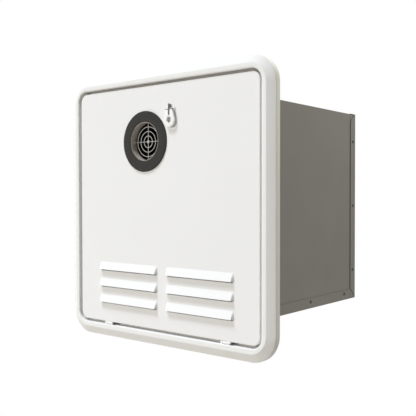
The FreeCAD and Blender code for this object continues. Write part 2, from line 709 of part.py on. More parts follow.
def make_bottom_pan():
    """Bottom sheet with flanges folded up outside the wrap, and a front flange."""
    pan = body("bottom_pan")
    floor = "casing_low + sheet_thick"
    lap = "casing_low + seam_lap"
    extrude(pan, "Z", "casing_low", floor, rectangle("-casing_half", "casing_half", "0", "casing_deep"))
    mitre = polygon(("0", floor), ("0", lap), ("casing_deep - seam_lap", lap),
                    ("casing_deep - sheet_thick", floor))
    _, rivets = side_rivets()
    for low, high in (("casing_half - sheet_thick", "casing_half"),
                      ("-casing_half", "-casing_half + sheet_thick")):
        extrude(pan, "X", low, high, mitre)
        pocket(pan, "X", low, high, *[circle(y, z, "rivet_shank") for y, z in rivets])
    extrude(pan, "Y", "-sheet_thick", "0", rectangle("-front_lip", "front_lip", "-front_lip", floor))
    lower = [x for x, z in screw_places("frame_screw_at", "frame_screw_side") if z == "-frame_screw_at"]
    pocket(pan, "Y", "-sheet_thick", "0", *[circle(x, "-frame_screw_at", "rivet_shank") for x in lower])


def make_back_panel():
    """Rear sheet with flanges folded forward outside the wrap, and holes for the connections."""
    back = body("back_panel")
    floor = "casing_low + sheet_thick"
    inside = "casing_deep - sheet_thick"
    extrude(back, "Y", inside, "casing_deep", rectangle("-casing_half", "casing_half", floor, "casing_top"))
    fold = "casing_deep - seam_lap"
    side = polygon((inside, f"{floor} + mitre_gap"), (fold, "casing_low + seam_lap + mitre_gap"),
                   (fold, "casing_top - corner_cut"),
                   (f"{fold} + corner_cut - sheet_thick", "casing_top - sheet_thick"),
                   (inside, "casing_top - sheet_thick"))
    rivets, _ = side_rivets()
    for low, high in (("casing_half - sheet_thick", "casing_half"),
                      ("-casing_half", "-casing_half + sheet_thick")):
        extrude(back, "X", low, high, side)
        pocket(back, "X", low, high, *[circle(y, z, "rivet_shank") for y, z in rivets])
    extrude(back, "Z", "casing_top - sheet_thick", "casing_top",
            rectangle("-casing_half", "casing_half", fold, inside))
    pocket(back, "Z", "casing_top - sheet_thick", "casing_top",
           *[circle(x, y, "rivet_shank") for x, y in top_rivets()])
    pocket(back, "Y", inside, "casing_deep",
           circle("water_x", "cold_z", "water_thread"), circle("water_x", "hot_z", "water_thread"),
           circle("gas_x", "gas_z", "gas_thread"), circle("gland_x", "gland_z", "gland_neck"))


def rivet(at, way):
    """A blind rivet through two sheets: its head outside, its tail inside."""
    head = cone("rivet_head", "rivet_head * 0.6", at, "rivet_high", way)
    tail = cylinder("rivet_shank", step_back(at, way, "2 * sheet_thick + rivet_inside"),
                    "2 * sheet_thick + rivet_inside", way)
    return fuse(head, tail)


def make_casing_rivets():
    """Every rivet of the casing."""
    rear, pan = side_rivets()
    rivets = []
    for y, z in rear + pan:
        rivets.append(rivet(("casing_half", y, z), "+X"))
        rivets.append(rivet(("-casing_half", y, z), "-X"))
    rivets += [rivet((x, y, "casing_top"), "+Z") for x, y in top_rivets()]
    piece(group(rivets), "casing_rivets")


def make_frame_screws():
    """Screws that hold the frame to the casing's front flange, and the keeper to the frame."""
    grip = "ledge_thick + sheet_thick * 2"
    places = screw_places("frame_screw_at", "frame_screw_side")
    screws = [screw((x, "-ledge_thick", z), "+Y", grip, "rivet_shank", "rivet_head") for x, z in places]
    screws += [screw((x, "-ledge_thick - keeper_thick", "frame_screw_at"), "+Y", f"{grip} + keeper_thick",
                     "rivet_shank", "rivet_head") for x in keeper_screws()]
    piece(group(screws), "frame_screws")


def make_door_seal():
    """The soft strip round the ledge that the closed door comes up to."""
    seal = body("door_seal")
    extrude(seal, "Y", "-seal_front", "-ledge_thick",
            rounded("seal_out", "seal_out - mouth_half"), rounded("seal_in", "seal_in - mouth_half"))


# ---------------------------------------------------------------- door

def louvre(door, low, high, top):
    """One hooded louvre between two ends: a wedge added to the door, then hollowed from below."""
    lip = f"{top} - louvre_high"
    hood = door.newObject("PartDesign::AdditiveWedge", "hood")
    bind(hood, Xmin=f"{low} + louvre_taper", Xmax=f"{high} - louvre_taper", X2min=low, X2max=high,
         Ymin="-door_face - louvre_proud", Ymax="-door_face",
         Zmin=lip, Zmax=f"{lip} + louvre_lip", Z2min=lip, Z2max=top)
    slope = "((louvre_high - louvre_lip) / louvre_proud)"
    inset = "louvre_wall * 2"
    reach = "(door_skin + louvre_proud - louvre_wall)"
    vent = door.newObject("PartDesign::SubtractiveWedge", "vent")
    bind(vent, Xmin=f"{low} + louvre_taper + louvre_wall", Xmax=f"{high} - louvre_taper - louvre_wall",
         X2min=f"{low} + louvre_wall", X2max=f"{high} - louvre_wall",
         Ymin="-door_face - louvre_proud + louvre_wall", Ymax="-door_face + door_skin",
         Zmin=f"{lip} - louvre_slot", Zmax=f"{lip} + louvre_lip + {slope} * louvre_wall - {inset}",
         Z2min=f"{lip} - louvre_slot",
         Z2max=f"{lip} + louvre_lip + {slope} * (louvre_wall + {reach}) - {inset}")


def louvre_spans():
    """Left and right ends of the two louvre columns."""
    return [("(louvre_middle - louvre_out)", "(louvre_middle - louvre_in)"),
            ("(louvre_middle + louvre_in)", "(louvre_middle + louvre_out)")]


def bezel_screw_places():
    """Three screws round the exhaust bezel."""
    places = []
    for k in range(3):
        angle = 90 + 120 * k
        places.append((f"outlet_x + bezel_screw_at * cos({angle} deg)",
                       f"outlet_z + bezel_screw_at * sin({angle} deg)"))
    return places


def make_door_panel():
    """The door: a shallow tray with six hooded louvres and holes for the exhaust and the latch."""
    door = body("door_panel")
    slab = extrude(door, "Y", "-door_face", "-door_back", rounded("door_half", "door_corner"))
    fillet(door, slab, level_edges(slab, "-door_face"), "door_round")
    pocket(door, "Y", "-door_face + door_skin", "-door_back",
           rounded("door_half - door_skin", "door_corner - door_skin"))
    holes = [circle("outlet_x", "outlet_z", "bezel_spigot"),
             circle("latch_x", "latch_z", "spindle_radius + running_gap")]
    holes += [circle(x, z, "small_shank") for x, z in bezel_screw_places()]
    pocket(door, "Y", "-door_face", "-door_face + door_skin", *holes)
    for low, high in louvre_spans():
        for row in range(COUNTS["louvre_rows"]):
            louvre(door, low, high, f"louvre_top - {row} * louvre_pitch")


def make_hinges():
    """A strap with a knuckle under the door's lower flange, and the pin from its lug through it, twice."""
    straps, pins = [], []
    for middle in HINGES:
        left, right = f"{middle} - knuckle_half", f"{middle} + knuckle_half"
        knuckle = cylinder("knuckle_radius", (left, "-hinge_front", "-hinge_low"),
                           "2 * knuckle_half", "+X")
        strap = box((left, right), ("-hinge_front", "-door_back"),
                    ("-door_half - strap_thick", "-door_half"))
        bore = cylinder("hinge_pin + running_gap", (left, "-hinge_front", "-hinge_low"),
                        "2 * knuckle_half", "+X")
        straps.append(cut(fuse(knuckle, strap), bore))
        start = f"{left} - lug_play - lug_wide"
        pins.append(cylinder("hinge_pin", (start, "-hinge_front", "-hinge_low"),
                             "lug_wide + lug_play + 2 * knuckle_half + pin_past", "+X"))
    piece(group(straps), "door_hinge_straps")
    piece(group(pins), "hinge_pins")


def make_exhaust_bezel():
    """The dark ring on the door round the exhaust, its retaining ring and three screws."""
    bezel = body("exhaust_bezel")
    front = "-door_face - bezel_proud"
    ring = extrude(bezel, "Y", front, "-door_face", circle("outlet_x", "outlet_z", "bezel_radius"),
                   circle("outlet_x", "outlet_z", "bezel_bore"))
    fillet(bezel, ring, level_edges(ring, front), "bezel_round")
    extrude(bezel, "Y", "-door_face", "-spigot_back", circle("outlet_x", "outlet_z", "bezel_spigot"),
            circle("outlet_x", "outlet_z", "bezel_bore"))
    holes = [circle(x, z, "small_shank") for x, z in bezel_screw_places()]
    pocket(bezel, "Y", "-door_face - bezel_proud / 2", "-door_face", *holes)
    retainer = body("bezel_retainer")
    inside = "-door_face + door_skin"
    extrude(retainer, "Y", inside, f"{inside} + retainer_thick",
            circle("outlet_x", "outlet_z", "retainer_radius"),
            circle("outlet_x", "outlet_z", "bezel_spigot"), *holes)
    grip = "bezel_proud / 2 + door_skin + retainer_thick"
    screws = [screw((x, f"{inside} + retainer_thick", z), "-Y", grip) for x, z in bezel_screw_places()]
    piece(group(screws), "bezel_screws")


def make_louvre_screens():
    """A slotted screen behind each column of louvres, standing on pillars behind the door panel."""
    screens = []
    top = "louvre_top + screen_edge"
    low = "louvre_top - (louvre_rows - 1) * louvre_pitch - louvre_high - screen_edge"
    for left, right in louvre_spans():
        edge_left, edge_right = f"{left} - screen_edge", f"{right} + screen_edge"
        plate = box((edge_left, edge_right), ("-screen_front", "-screen_front + screen_thick"), (low, top))
        slots = []
        for row in range(COUNTS["louvre_rows"] * 4):
            for column in range(4):
                start = f"{left} + {column} * (louvre_out - louvre_in) / 4 + screen_bar / 2"
                foot = f"{low} + screen_edge + {row} * louvre_pitch / 4.1"
                slots.append(box((start, f"{start} + (louvre_out - louvre_in) / 4 - screen_bar"),
                                 ("-screen_front", "-screen_front + screen_thick"),
                                 (foot, f"{foot} + louvre_pitch / 4.1 - screen_bar")))
        pillars = [cylinder("screen_edge / 2", (x, "-door_face + door_skin", z),
                            "door_face - door_skin - screen_front", "+Y")
                   for x in (f"{edge_left} + screen_edge / 2", f"{edge_right} - screen_edge / 2")
                   for z in (f"{low} + screen_edge / 2", f"{top} - screen_edge / 2")]
        screens.append(fuse(cut(plate, *slots), *pillars))
    piece(group(screens), "louvre_screens")


def make_door_insulation():
    """A foam pad on the inside of the door between the bezel and the louvres."""
    back = "-door_face + door_skin"
    piece(box(("-pad_half", "pad_half"), (back, f"{back} + pad_thick"), ("pad_low", "pad_high")),
          "door_insulation")


# ---------------------------------------------------------------- latch

def make_latch_spindle():
    """The turning spindle: a blade outside the door with the pull pin in it, and a square for the cam."""
    spindle = body("latch_spindle")
    seat = "-door_face - collar_thick"
    left, right = "latch_x - blade_wide / 2", "latch_x + blade_wide / 2"
    extrude(spindle, "Y", seat, "-cam_front", circle("latch_x", "latch_z", "spindle_radius"))
    extrude(spindle, "Y", "-cam_front", "-cam_front + cam_thick + nut_thick", latch_square())
    extrude(spindle, "Y", "-pull_axis", seat,
            rectangle(left, right, "latch_z - spindle_radius", "latch_z + spindle_radius"))
    extrude(spindle, "Y", "-blade_front", "-pull_back",
            rectangle(left, right, "latch_z - blade_down", "latch_z + blade_up"))
    extrude(spindle, "X", "latch_x - pull_pin_half", "latch_x + pull_pin_half",
            circle("-pull_axis", "latch_z", "pull_pin"))
    collar = body("latch_collar")
    extrude(collar, "Y", seat, "-door_face", circle("latch_x", "latch_z", "collar_radius"),
            circle("latch_x", "latch_z", "spindle_radius"))


def latch_square():
    """The square that the cam and its nut fit over."""
    return rectangle("latch_x - cam_square", "latch_x + cam_square",
                     "latch_z - cam_square", "latch_z + cam_square")


def make_latch_parts():
    """Cam, nut and keeper of the latch."""
    cam = body("latch_cam")
    extrude(cam, "Y", "-cam_front", "-cam_front + cam_thick", latch_square(), rectangle(
        "latch_x - cam_half", "latch_x + cam_half", "latch_z - cam_long", "latch_z + cam_half"))
    nut = body("latch_nut")
    extrude(nut, "Y", "-cam_front + cam_thick", "-cam_front + cam_thick + nut_thick", latch_square(),
            rectangle("latch_x - nut_half", "latch_x + nut_half", "latch_z - nut_half", "latch_z + nut_half"))
    keeper = body("latch_keeper")
    extrude(keeper, "Y", "-ledge_thick - keeper_thick", "-ledge_thick",
            rectangle("keeper_left", "keeper_right", "keeper_low", "keeper_high"),
            *[circle(x, "frame_screw_at", "rivet_shank") for x in keeper_screws()])


def make_latch_pull():
    """The hanging pull: a drop-shaped plate with a finger hole, slotted for the blade and the pin."""
    front, back = "-pull_back - pull_thick", "-pull_back"
    upper, lower = "(latch_z + pull_rise)", "(latch_z - pull_drop)"
    pull = body("latch_pull")
    extrude(pull, "Y", front, back, circle("latch_x", lower, "pull_foot"))
    extrude(pull, "Y", front, back, polygon(
        ("latch_x - pull_head", upper), ("latch_x - pull_head", "latch_z - pull_rise"),
        ("latch_x - pull_foot", lower), ("latch_x + pull_foot", lower),
        ("latch_x + pull_head", "latch_z - pull_rise"), ("latch_x + pull_head", upper)))
    foot = "latch_z - blade_down - pull_clear"
    pocket(pull, "Y", front, back, circle("latch_x", lower, "finger_hole"))
    pocket(pull, "Y", front, back,
           rectangle("latch_x - pull_slot / 2", "latch_x + pull_slot / 2", foot, upper))
    left, right = "latch_x - pull_foot", "latch_x + pull_foot"
    pocket(pull, "X", left, right, circle("-pull_axis", "latch_z", "pull_pin + running_gap"))
    pocket(pull, "Y", front, "-pull_axis", rectangle(
        left, right, "latch_z - pull_snap", "latch_z + pull_snap"))


# ---------------------------------------------------------------- exhaust and combustion stack

def stack_span(inset="0"):
    """Left and right of the combustion stack."""
    return f"outlet_x - stack_half + {inset}", f"outlet_x + stack_half - ({inset})"


def shell_box(low, high, top_closed, floor_closed):
    """A sheet box round the stack between two heights."""
    top = f"{high} - stack_sheet" if top_closed else high
    floor = f"{low} + stack_sheet" if floor_closed else low
    outer = box(stack_span(), ("stack_front", "stack_back"), (low, high))
    inner = box(stack_span("stack_sheet"), ("stack_front + stack_sheet", "stack_back - stack_sheet"),
                (floor, top))
    return outer, inner


def make_exhaust():
    """Outlet tube, its gasket, the grille inside it and the hood it leads from."""
    tube = body("exhaust_outlet")
    axis = ("outlet_x", "outlet_z")
    bore = circle(*axis, "tube_radius - tube_wall")
    extrude(tube, "Y", "-tube_front", "stack_front", circle(*axis, "tube_radius"), bore)
    extrude(tube, "Y", "stack_front - stack_sheet", "stack_front", circle(*axis, "tube_flange"), bore)
    gasket = body("exhaust_gasket")
    extrude(gasket, "Y", "-gasket_front", "-gasket_back", circle(*axis, "gasket_radius"),
            circle(*axis, "tube_radius"))
    grille = body("exhaust_grille")
    front, back = "-grille_front", "-grille_front + grille_thick"
    inside = "(tube_radius - tube_wall)"
    for k in range(3):
        middle = f"grille_first + {k} * grille_step"
        extrude(grille, "Y", front, back, circle(*axis, f"{middle} + grille_wire / 2"),
                circle(*axis, f"{middle} - grille_wire / 2"))
        if not k:
            extrude(grille, "Y", front, back, rectangle(
                "outlet_x - tube_radius", "outlet_x + tube_radius",
                "outlet_z - grille_wire / 2", "outlet_z + grille_wire / 2"))
            extrude(grille, "Y", front, back, rectangle(
                "outlet_x - grille_wire / 2", "outlet_x + grille_wire / 2",
                "outlet_z - tube_radius", "outlet_z + tube_radius"))
    extrude(grille, "Y", f"{front} - grille_wire / 2", back, circle(*axis, "grille_boss"))
    pocket(grille, "Y", front, back, circle(*axis, "tube_radius + grille_wire"), circle(*axis, inside))
    outer, inner = shell_box("shell_top", "hood_top", True, False)
    mouth = cylinder(inside, ("outlet_x", "stack_front", "outlet_z"), "stack_sheet", "+Y")
    piece(cut(outer, inner, mouth), "exhaust_hood")


def pass_depths():
    """Depth of each pass of the exchanger pipe."""
    return [f"pass_first + {k} * pass_step" for k in range(COUNTS["pass_count"])]


def make_heat_exchanger():
    """Copper shell, its fins and the pipe that runs to and fro through them."""
    outer, inner = shell_box("shell_low", "shell_top", False, False)
    left, right = stack_span()
    bores = [cylinder("pipe_radius", (left, y, "pass_z"), "2 * stack_half", "+X") for y in pass_depths()]
    plugs = [cylinder("ceramic_radius", (f"outlet_x + {sign}electrode_at", "stack_front", "electrode_z"),
                      "stack_sheet", "+Y") for sign in SIDES]
    piece(cut(outer, inner, *bores, *plugs), "exchanger_shell")

    fins = body("exchanger_fins")
    step = "(2 * stack_half - 2 * stack_sheet - fin_thick) / (fin_count - 1)"
    depth = (rectangle("stack_front + stack_sheet", "stack_back - stack_sheet", "fin_low", "fin_high"),)
    for k in range(COUNTS["fin_count"]):
        start = f"outlet_x - stack_half + stack_sheet + {k} * {step}"
        extrude(fins, "X", start, f"{start} + fin_thick", *depth)
    for edge in ("stack_front + stack_sheet", "stack_back - stack_sheet - fin_thick"):
        extrude(fins, "Y", edge, f"{edge} + fin_thick", rectangle(
            f"{left} + stack_sheet", f"{right} - stack_sheet", "fin_low", "fin_high"))
    pocket(fins, "X", f"{left} + stack_sheet", f"{right} - stack_sheet",
           *[circle(y, "pass_z", "pipe_radius") for y in pass_depths()])

    corners = [("water_x + bend_radius", pass_depths()[0], "pass_z")]
    for k, y in enumerate(pass_depths()):
        near, far = (left, right) if k % 2 == 0 else (right, left)
        sign = "+" if k % 2 == 0 else "-"
        reach = f"{far} {sign} (pass_out + pass_step / 2)"
        if k:
            back_sign = "-" if k % 2 == 0 else "+"
            corners.append((f"{near} {back_sign} (pass_out + pass_step / 2)", y, "pass_z"))
        if k < COUNTS["pass_count"] - 1:
            corners.append((reach, y, "pass_z"))
    corners.append(("water_x + bend_radius", pass_depths()[-1], "pass_z"))
    pipe("exchanger_tube", corners, "pipe_radius", "pass_step / 2 - 0.01")


def make_burner():
    """Burner tray with its bars, the gas manifold with its nozzles, the electrodes and the legs."""
    outer, inner = shell_box("tray_low", "shell_low", False, True)
    places = [f"outlet_x + {k - COUNTS['bar_count'] // 2} * bar_step" for k in range(COUNTS["bar_count"])]
    axis_z = "(manifold_low + manifold_high) / 2"
    jets = [cylinder("nozzle_radius", (x, "stack_front", axis_z), "stack_sheet", "+Y") for x in places]
    throat = box(("outlet_x - blower_mouth", "outlet_x"),
                 ("blower_front + blower_wall", "blower_back - blower_wall"),
                 ("tray_low", "tray_low + stack_sheet"))
    piece(cut(outer, inner, throat, *jets), "burner_tray")

    floor = "tray_low + stack_sheet"
    bars = []
    for x in places:
        bar = box((f"{x} - bar_wide / 2", f"{x} + bar_wide / 2"),
                  ("stack_front + bar_margin", "stack_back - bar_margin"), (floor, "bar_top"))
        slot = box((f"{x} - bar_slot / 2", f"{x} + bar_slot / 2"),
                   ("stack_front + 1.5 * bar_margin", "stack_back - 1.5 * bar_margin"),
                   ("bar_top - bar_slot_deep", "bar_top"))
        bars.append(cut(bar, slot))
    piece(group(bars), "burner_bars")

    rail = box(("outlet_x - manifold_half", "outlet_x + manifold_half"),
               ("manifold_front", "manifold_back"), ("manifold_low", "manifold_high"))
    posts = [cylinder("manifold_post", (f"outlet_x + {k} * bar_step", "manifold_back", "manifold_low + 3"),
                      "stack_front - manifold_back", "+Y") for k in (-3.5, 3.5)]
    piece(fuse(rail, *posts), "gas_manifold")
    nozzles = [cut(cylinder("nozzle_radius", (x, "manifold_back", axis_z),
                            "nozzle_tip - manifold_back", "+Y"),
                   cylinder("nozzle_bore", (x, "manifold_back", axis_z),
                            "nozzle_tip - manifold_back", "+Y")) for x in places]
    piece(group(nozzles), "gas_nozzles")

    electrodes = []
    for sign in SIDES:
        x = f"outlet_x + {sign}electrode_at"
        ceramic = cylinder("ceramic_radius", (x, "manifold_front", "electrode_z"),
                           "stack_front + 2 * ceramic_radius - manifold_front", "+Y")
        rod = cylinder("rod_radius", (x, "stack_front", "electrode_z"), "bar_step * 2", "+Y")
        flange = box((f"{x} - 2.5 * ceramic_radius", f"{x} + 2.5 * ceramic_radius"),
                     ("stack_front - stack_sheet", "stack_front"),
                     ("electrode_z - 2 * ceramic_radius", "electrode_z + 2 * ceramic_radius"))
        electrodes.append(fuse(ceramic, rod, flange))
    piece(group(electrodes), "spark_electrodes")

    left, right = stack_span()
    legs = [box((x, f"{x} + leg_wide"), (y, f"{y} + leg_wide"), ("casing_low + sheet_thick", "tray_low"))
            for x in (left, f"{right} - leg_wide")
            for y in ("stack_front", "stack_back - leg_wide")]
    piece(group(legs), "stack_legs")


# ---------------------------------------------------------------- blower

def make_blower():
    """Blower housing, the wheel on its shaft and the motor behind."""
    axis = ("outlet_x", "blower_z")
    housing = body("blower_housing")
    extrude(housing, "Y", "blower_front", "blower_back", circle(*axis, "blower_radius"))
    extrude(housing, "Y", "blower_front", "blower_back", rectangle(
        "outlet_x - blower_radius", "outlet_x + blower_wall", "blower_z", "tray_low"))
    extrude(housing, "Y", "blower_front", "blower_back", rectangle(
        "outlet_x - foot_half", "outlet_x + foot_half", "casing_low + sheet_thick", "foot_top"))
    inside = ("blower_front + blower_wall", "blower_back - blower_wall")
    pocket(housing, "Y", *inside, circle(*axis, "blower_radius - blower_wall"))
    pocket(housing, "Y", *inside, rectangle(
        "outlet_x - blower_radius + blower_wall", "outlet_x", "blower_z + blower_wall", "tray_low"))
    pocket(housing, "Y", "blower_front", inside[0], circle(*axis, "blower_inlet"))
    pocket(housing, "Y", inside[1], "blower_back", circle(*axis, "shaft_radius * 3"))

    wheel = body("blower_wheel")
    front, back = f"{inside[0]} + wheel_gap", f"{inside[1]} - wheel_gap"
    bore = circle(*axis, "shaft_radius")
    extrude(wheel, "Y", f"{back} - wheel_disc", back, circle(*axis, "wheel_radius"), bore)
    extrude(wheel, "Y", f"{back} - 10 * wheel_disc", back, circle(*axis, "hub_radius"), bore)
    extrude(wheel, "Y", front, f"{front} + wheel_disc", circle(*axis, "wheel_radius"),
            circle(*axis, "wheel_radius - blade_deep"))
    for k in range(COUNTS["blade_count"]):
        turn = math.radians(360 * k / COUNTS["blade_count"])
        lean = math.radians(28)
        root, tip, half = "(wheel_radius - blade_deep + 0.5)", "(wheel_radius - 0.5)", "blade_thick / 2"
        corners = []
        for radius, offset, angle in ((root, f"-{half}", turn), (tip, f"-{half}", turn + lean / 2),
                                      (tip, half, turn + lean / 2), (root, half, turn)):
            corners.append((f"outlet_x + {radius} * {math.cos(angle)} - ({offset}) * {math.sin(angle)}",
                            f"blower_z + {radius} * {math.sin(angle)} + ({offset}) * {math.cos(angle)}"))
        extrude(wheel, "Y", front, back, polygon(*corners))

    shaft = cylinder("shaft_radius", ("outlet_x", f"{back} - 10 * wheel_disc", "blower_z"),
                     f"motor_bore_end - ({back} - 10 * wheel_disc)", "+Y")
    piece(shaft, "blower_shaft")
    can = cylinder("motor_radius", ("outlet_x", "blower_back", "blower_z"),
                   "motor_back - blower_back", "+Y")
    hole = cylinder("shaft_radius + running_gap", ("outlet_x", "blower_back", "blower_z"),
                    "motor_bore_end + 1 - blower_back", "+Y")
    piece(cut(can, hole), "blower_motor")


# ---------------------------------------------------------------- gas train

def connection(x, z, thread, collar, bore, inner):
    """A pipe connection through the back panel: stub and collar inside, collar and thread outside."""
    start = "casing_deep - sheet_thick - stub_long"
    stub = cylinder(inner, (x, start, z), "stub_long", "+Y")
    inside_collar = cylinder(collar, (x, "casing_deep - sheet_thick - collar_long", z), "collar_long", "+Y")
    neck = cylinder(thread, (x, "casing_deep - sheet_thick", z), "sheet_thick + collar_long + thread_long",
                    "+Y")
    nut = cylinder(collar, (x, "casing_deep", z), "collar_long", "+Y")
    way = cylinder(bore, (x, "casing_deep - stub_long / 2", z),
                   "stub_long / 2 + collar_long + thread_long", "+Y")
    return cut(fuse(stub, inside_collar, neck, nut), way)


def make_gas_train():
    """Gas valve with two solenoids on a bracket, its pipes and the inlet connection."""
    axis_z = "(manifold_low + manifold_high) / 2"
    axis_y = "(manifold_front + manifold_back) / 2"
    piece(box(("valve_left", "valve_right"), ("valve_front", "valve_back"), ("valve_low", "valve_high")),
          "gas_valve")
    middle_y = "(valve_front + valve_back) / 2"
    coils = [cylinder("solenoid_radius", (f"gas_x + {sign}(solenoid_radius + 1)", middle_y, "valve_high"),
                      "solenoid_high", "+Z") for sign in SIDES]
    piece(group(coils), "gas_solenoids")
    feed = cylinder("gas_pipe", ("outlet_x + manifold_half", axis_y, axis_z),
                    "valve_left - outlet_x - manifold_half", "+X")
    supply = cylinder("gas_pipe", ("gas_x", "valve_back", "gas_z"),
                      "casing_deep - sheet_thick - stub_long - valve_back", "+Y")
    piece(group([feed, supply]), "gas_pipes")
    piece(connection("gas_x", "gas_z", "gas_thread", "gas_nut", "gas_pipe - 1", "gas_pipe + 1"),
          "gas_inlet_fitting")
    bracket = body("valve_bracket")
    floor = "casing_low + sheet_thick"
    web = "valve_right - bracket_sheet"
    extrude(bracket, "Y", "valve_front", "valve_back", polygon(
        ("valve_left", floor), ("valve_right", floor), ("valve_right", "valve_low"),
        ("valve_left", "valve_low"), ("valve_left", "valve_low - bracket_sheet"),
        (web, "valve_low - bracket_sheet"), (web, f"{floor} + bracket_sheet"),
        ("valve_left", f"{floor} + bracket_sheet")))


# ---------------------------------------------------------------- water

def make_water_connections():
    """The cold and hot connections through the back panel."""
    fittings = [connection("water_x", z, "water_thread", "water_collar", "water_bore", "pipe_radius + 2")
                for z in ("cold_z", "hot_z")]
    piece(group(fittings), "water_fittings")


def make_flow_sensor():
    """Flow sensor: a hollow housing with a bladed turbine on a pin between two spiders."""
    housing = body("flow_sensor_housing")
    axis = ("water_x", "cold_z")
    inner = ("sensor_front + sensor_cap", "sensor_back - sensor_cap")
    extrude(housing, "Y", "sensor_front", "sensor_back", circle(*axis, "sensor_radius"))
    extrude(housing, "Z", "cold_z", "cold_z + sensor_radius + sensor_cap", rectangle(
        "water_x - turbine_radius", "water_x + turbine_radius",
        "sensor_front + 3 * sensor_cap", "sensor_back - 3 * sensor_cap"))
    pocket(housing, "Y", *inner, circle(*axis, "sensor_bore"))
    for start in (inner[0], f"{inner[1]} - sensor_cap / 2"):
        end = f"{start} + sensor_cap / 2"
        extrude(housing, "Y", start, end, rectangle(
            "water_x - sensor_bore - 0.5", "water_x + sensor_bore + 0.5", "cold_z - 1", "cold_z + 1"))
        extrude(housing, "Y", start, end, circle(*axis, "spider_hub"))
        pocket(housing, "Y", start, end, circle(*axis, "turbine_pin + running_gap"))

    turbine = body("flow_turbine")
    middle = "(sensor_front + sensor_back) / 2"
    span = (f"{middle} - turbine_half", f"{middle} + turbine_half")
    extrude(turbine, "Y", *span, circle(*axis, "spider_hub"))
    extrude(turbine, "Y", *span, rectangle("water_x - turbine_radius", "water_x + turbine_radius",
                                           "cold_z - 0.6", "cold_z + 0.6"))
    extrude(turbine, "Y", *span, rectangle("water_x - 0.6", "water_x + 0.6",
                                           "cold_z - turbine_radius", "cold_z + turbine_radius"))
    extrude(turbine, "Y", f"{inner[0]} + 0.5", f"{inner[1]} - 0.5", circle(*axis, "turbine_pin"))


def make_water_pipes():
    """Cold run, drain tee and riser, the hot pipe, and the clamps that hold them to the casing."""
    pipe_end = "water_x + bend_radius"
    tee_back, tee_top = "riser_y + tee_half", "cold_z + tee_half"
    piece(cylinder("pipe_radius", ("water_x", tee_back, "cold_z"), f"sensor_front - ({tee_back})", "+Y"),
          "cold_pipe")
    piece(box(("water_x - tee_half", "water_x + tee_half"), ("riser_y - tee_half", tee_back),
              ("cold_z - tee_half", tee_top)), "inlet_tee")
    pipe("cold_riser", [("water_x", "pass_first", tee_top), ("water_x", "pass_first", "pass_z"),
                        (pipe_end, "pass_first", "pass_z")], "pipe_radius", "bend_radius - 0.01")
    last = pass_depths()[-1]
    pipe("hot_pipe", [(pipe_end, last, "pass_z"), ("water_x", last, "pass_z"), ("water_x", last, "hot_z"),
                      ("water_x", "casing_deep - sheet_thick - stub_long", "hot_z")],
         "pipe_radius", "bend_radius - 0.01")

    wall = "-casing_half + 2 * sheet_thick"
    clamps = []
    for y, z, way, axis in (("sensor_front - 4 * clamp_half", "cold_z", "+Y", 1),
                            (last, "(pass_z + hot_z) / 2", "+Z", 2)):
        block = box((wall, "water_x + clamp_half"), (f"{y} - clamp_half", f"{y} + clamp_half"),
                    (f"{z} - clamp_half", f"{z} + clamp_half"))
        start = ["water_x", y, z]
        start[axis] = f"{start[axis]} - clamp_half"
        clamps.append(cut(block, cylinder("pipe_radius", start, "2 * clamp_half", way)))
    piece(group(clamps), "pipe_clamps")


def make_drain_valve():
    """A drain valve in front of the tee, with a quarter-turn lever."""
    front = "riser_y - tee_half"
    barrel = cylinder("drain_radius", ("water_x", "drain_front", "cold_z"), f"{front} - drain_front", "+Y")
    spout = cylinder("drain_spout", ("water_x", f"({front} + drain_front) / 2",
                                     "cold_z - drain_radius - tee_half"),
                     "drain_radius + tee_half", "+Z")
    socket = cylinder("drain_stem + running_gap", ("water_x", "drain_front", "cold_z"),
                      "2 * lever_half", "+Y")
    piece(cut(fuse(barrel, spout), socket), "drain_valve_body")
    stem = cylinder("drain_stem", ("water_x", "drain_front - lever_thick", "cold_z"),
                    "lever_thick + 2 * lever_half - 0.5", "+Y")
    arm = box(("water_x - lever_half", "water_x + lever_half"),
              ("drain_front - lever_thick - 0.5", "drain_front - 0.5"),
              ("cold_z - lever_half", "cold_z + lever_long"))
    piece(fuse(stem, arm), "drain_lever")


# ---------------------------------------------------------------- electrics

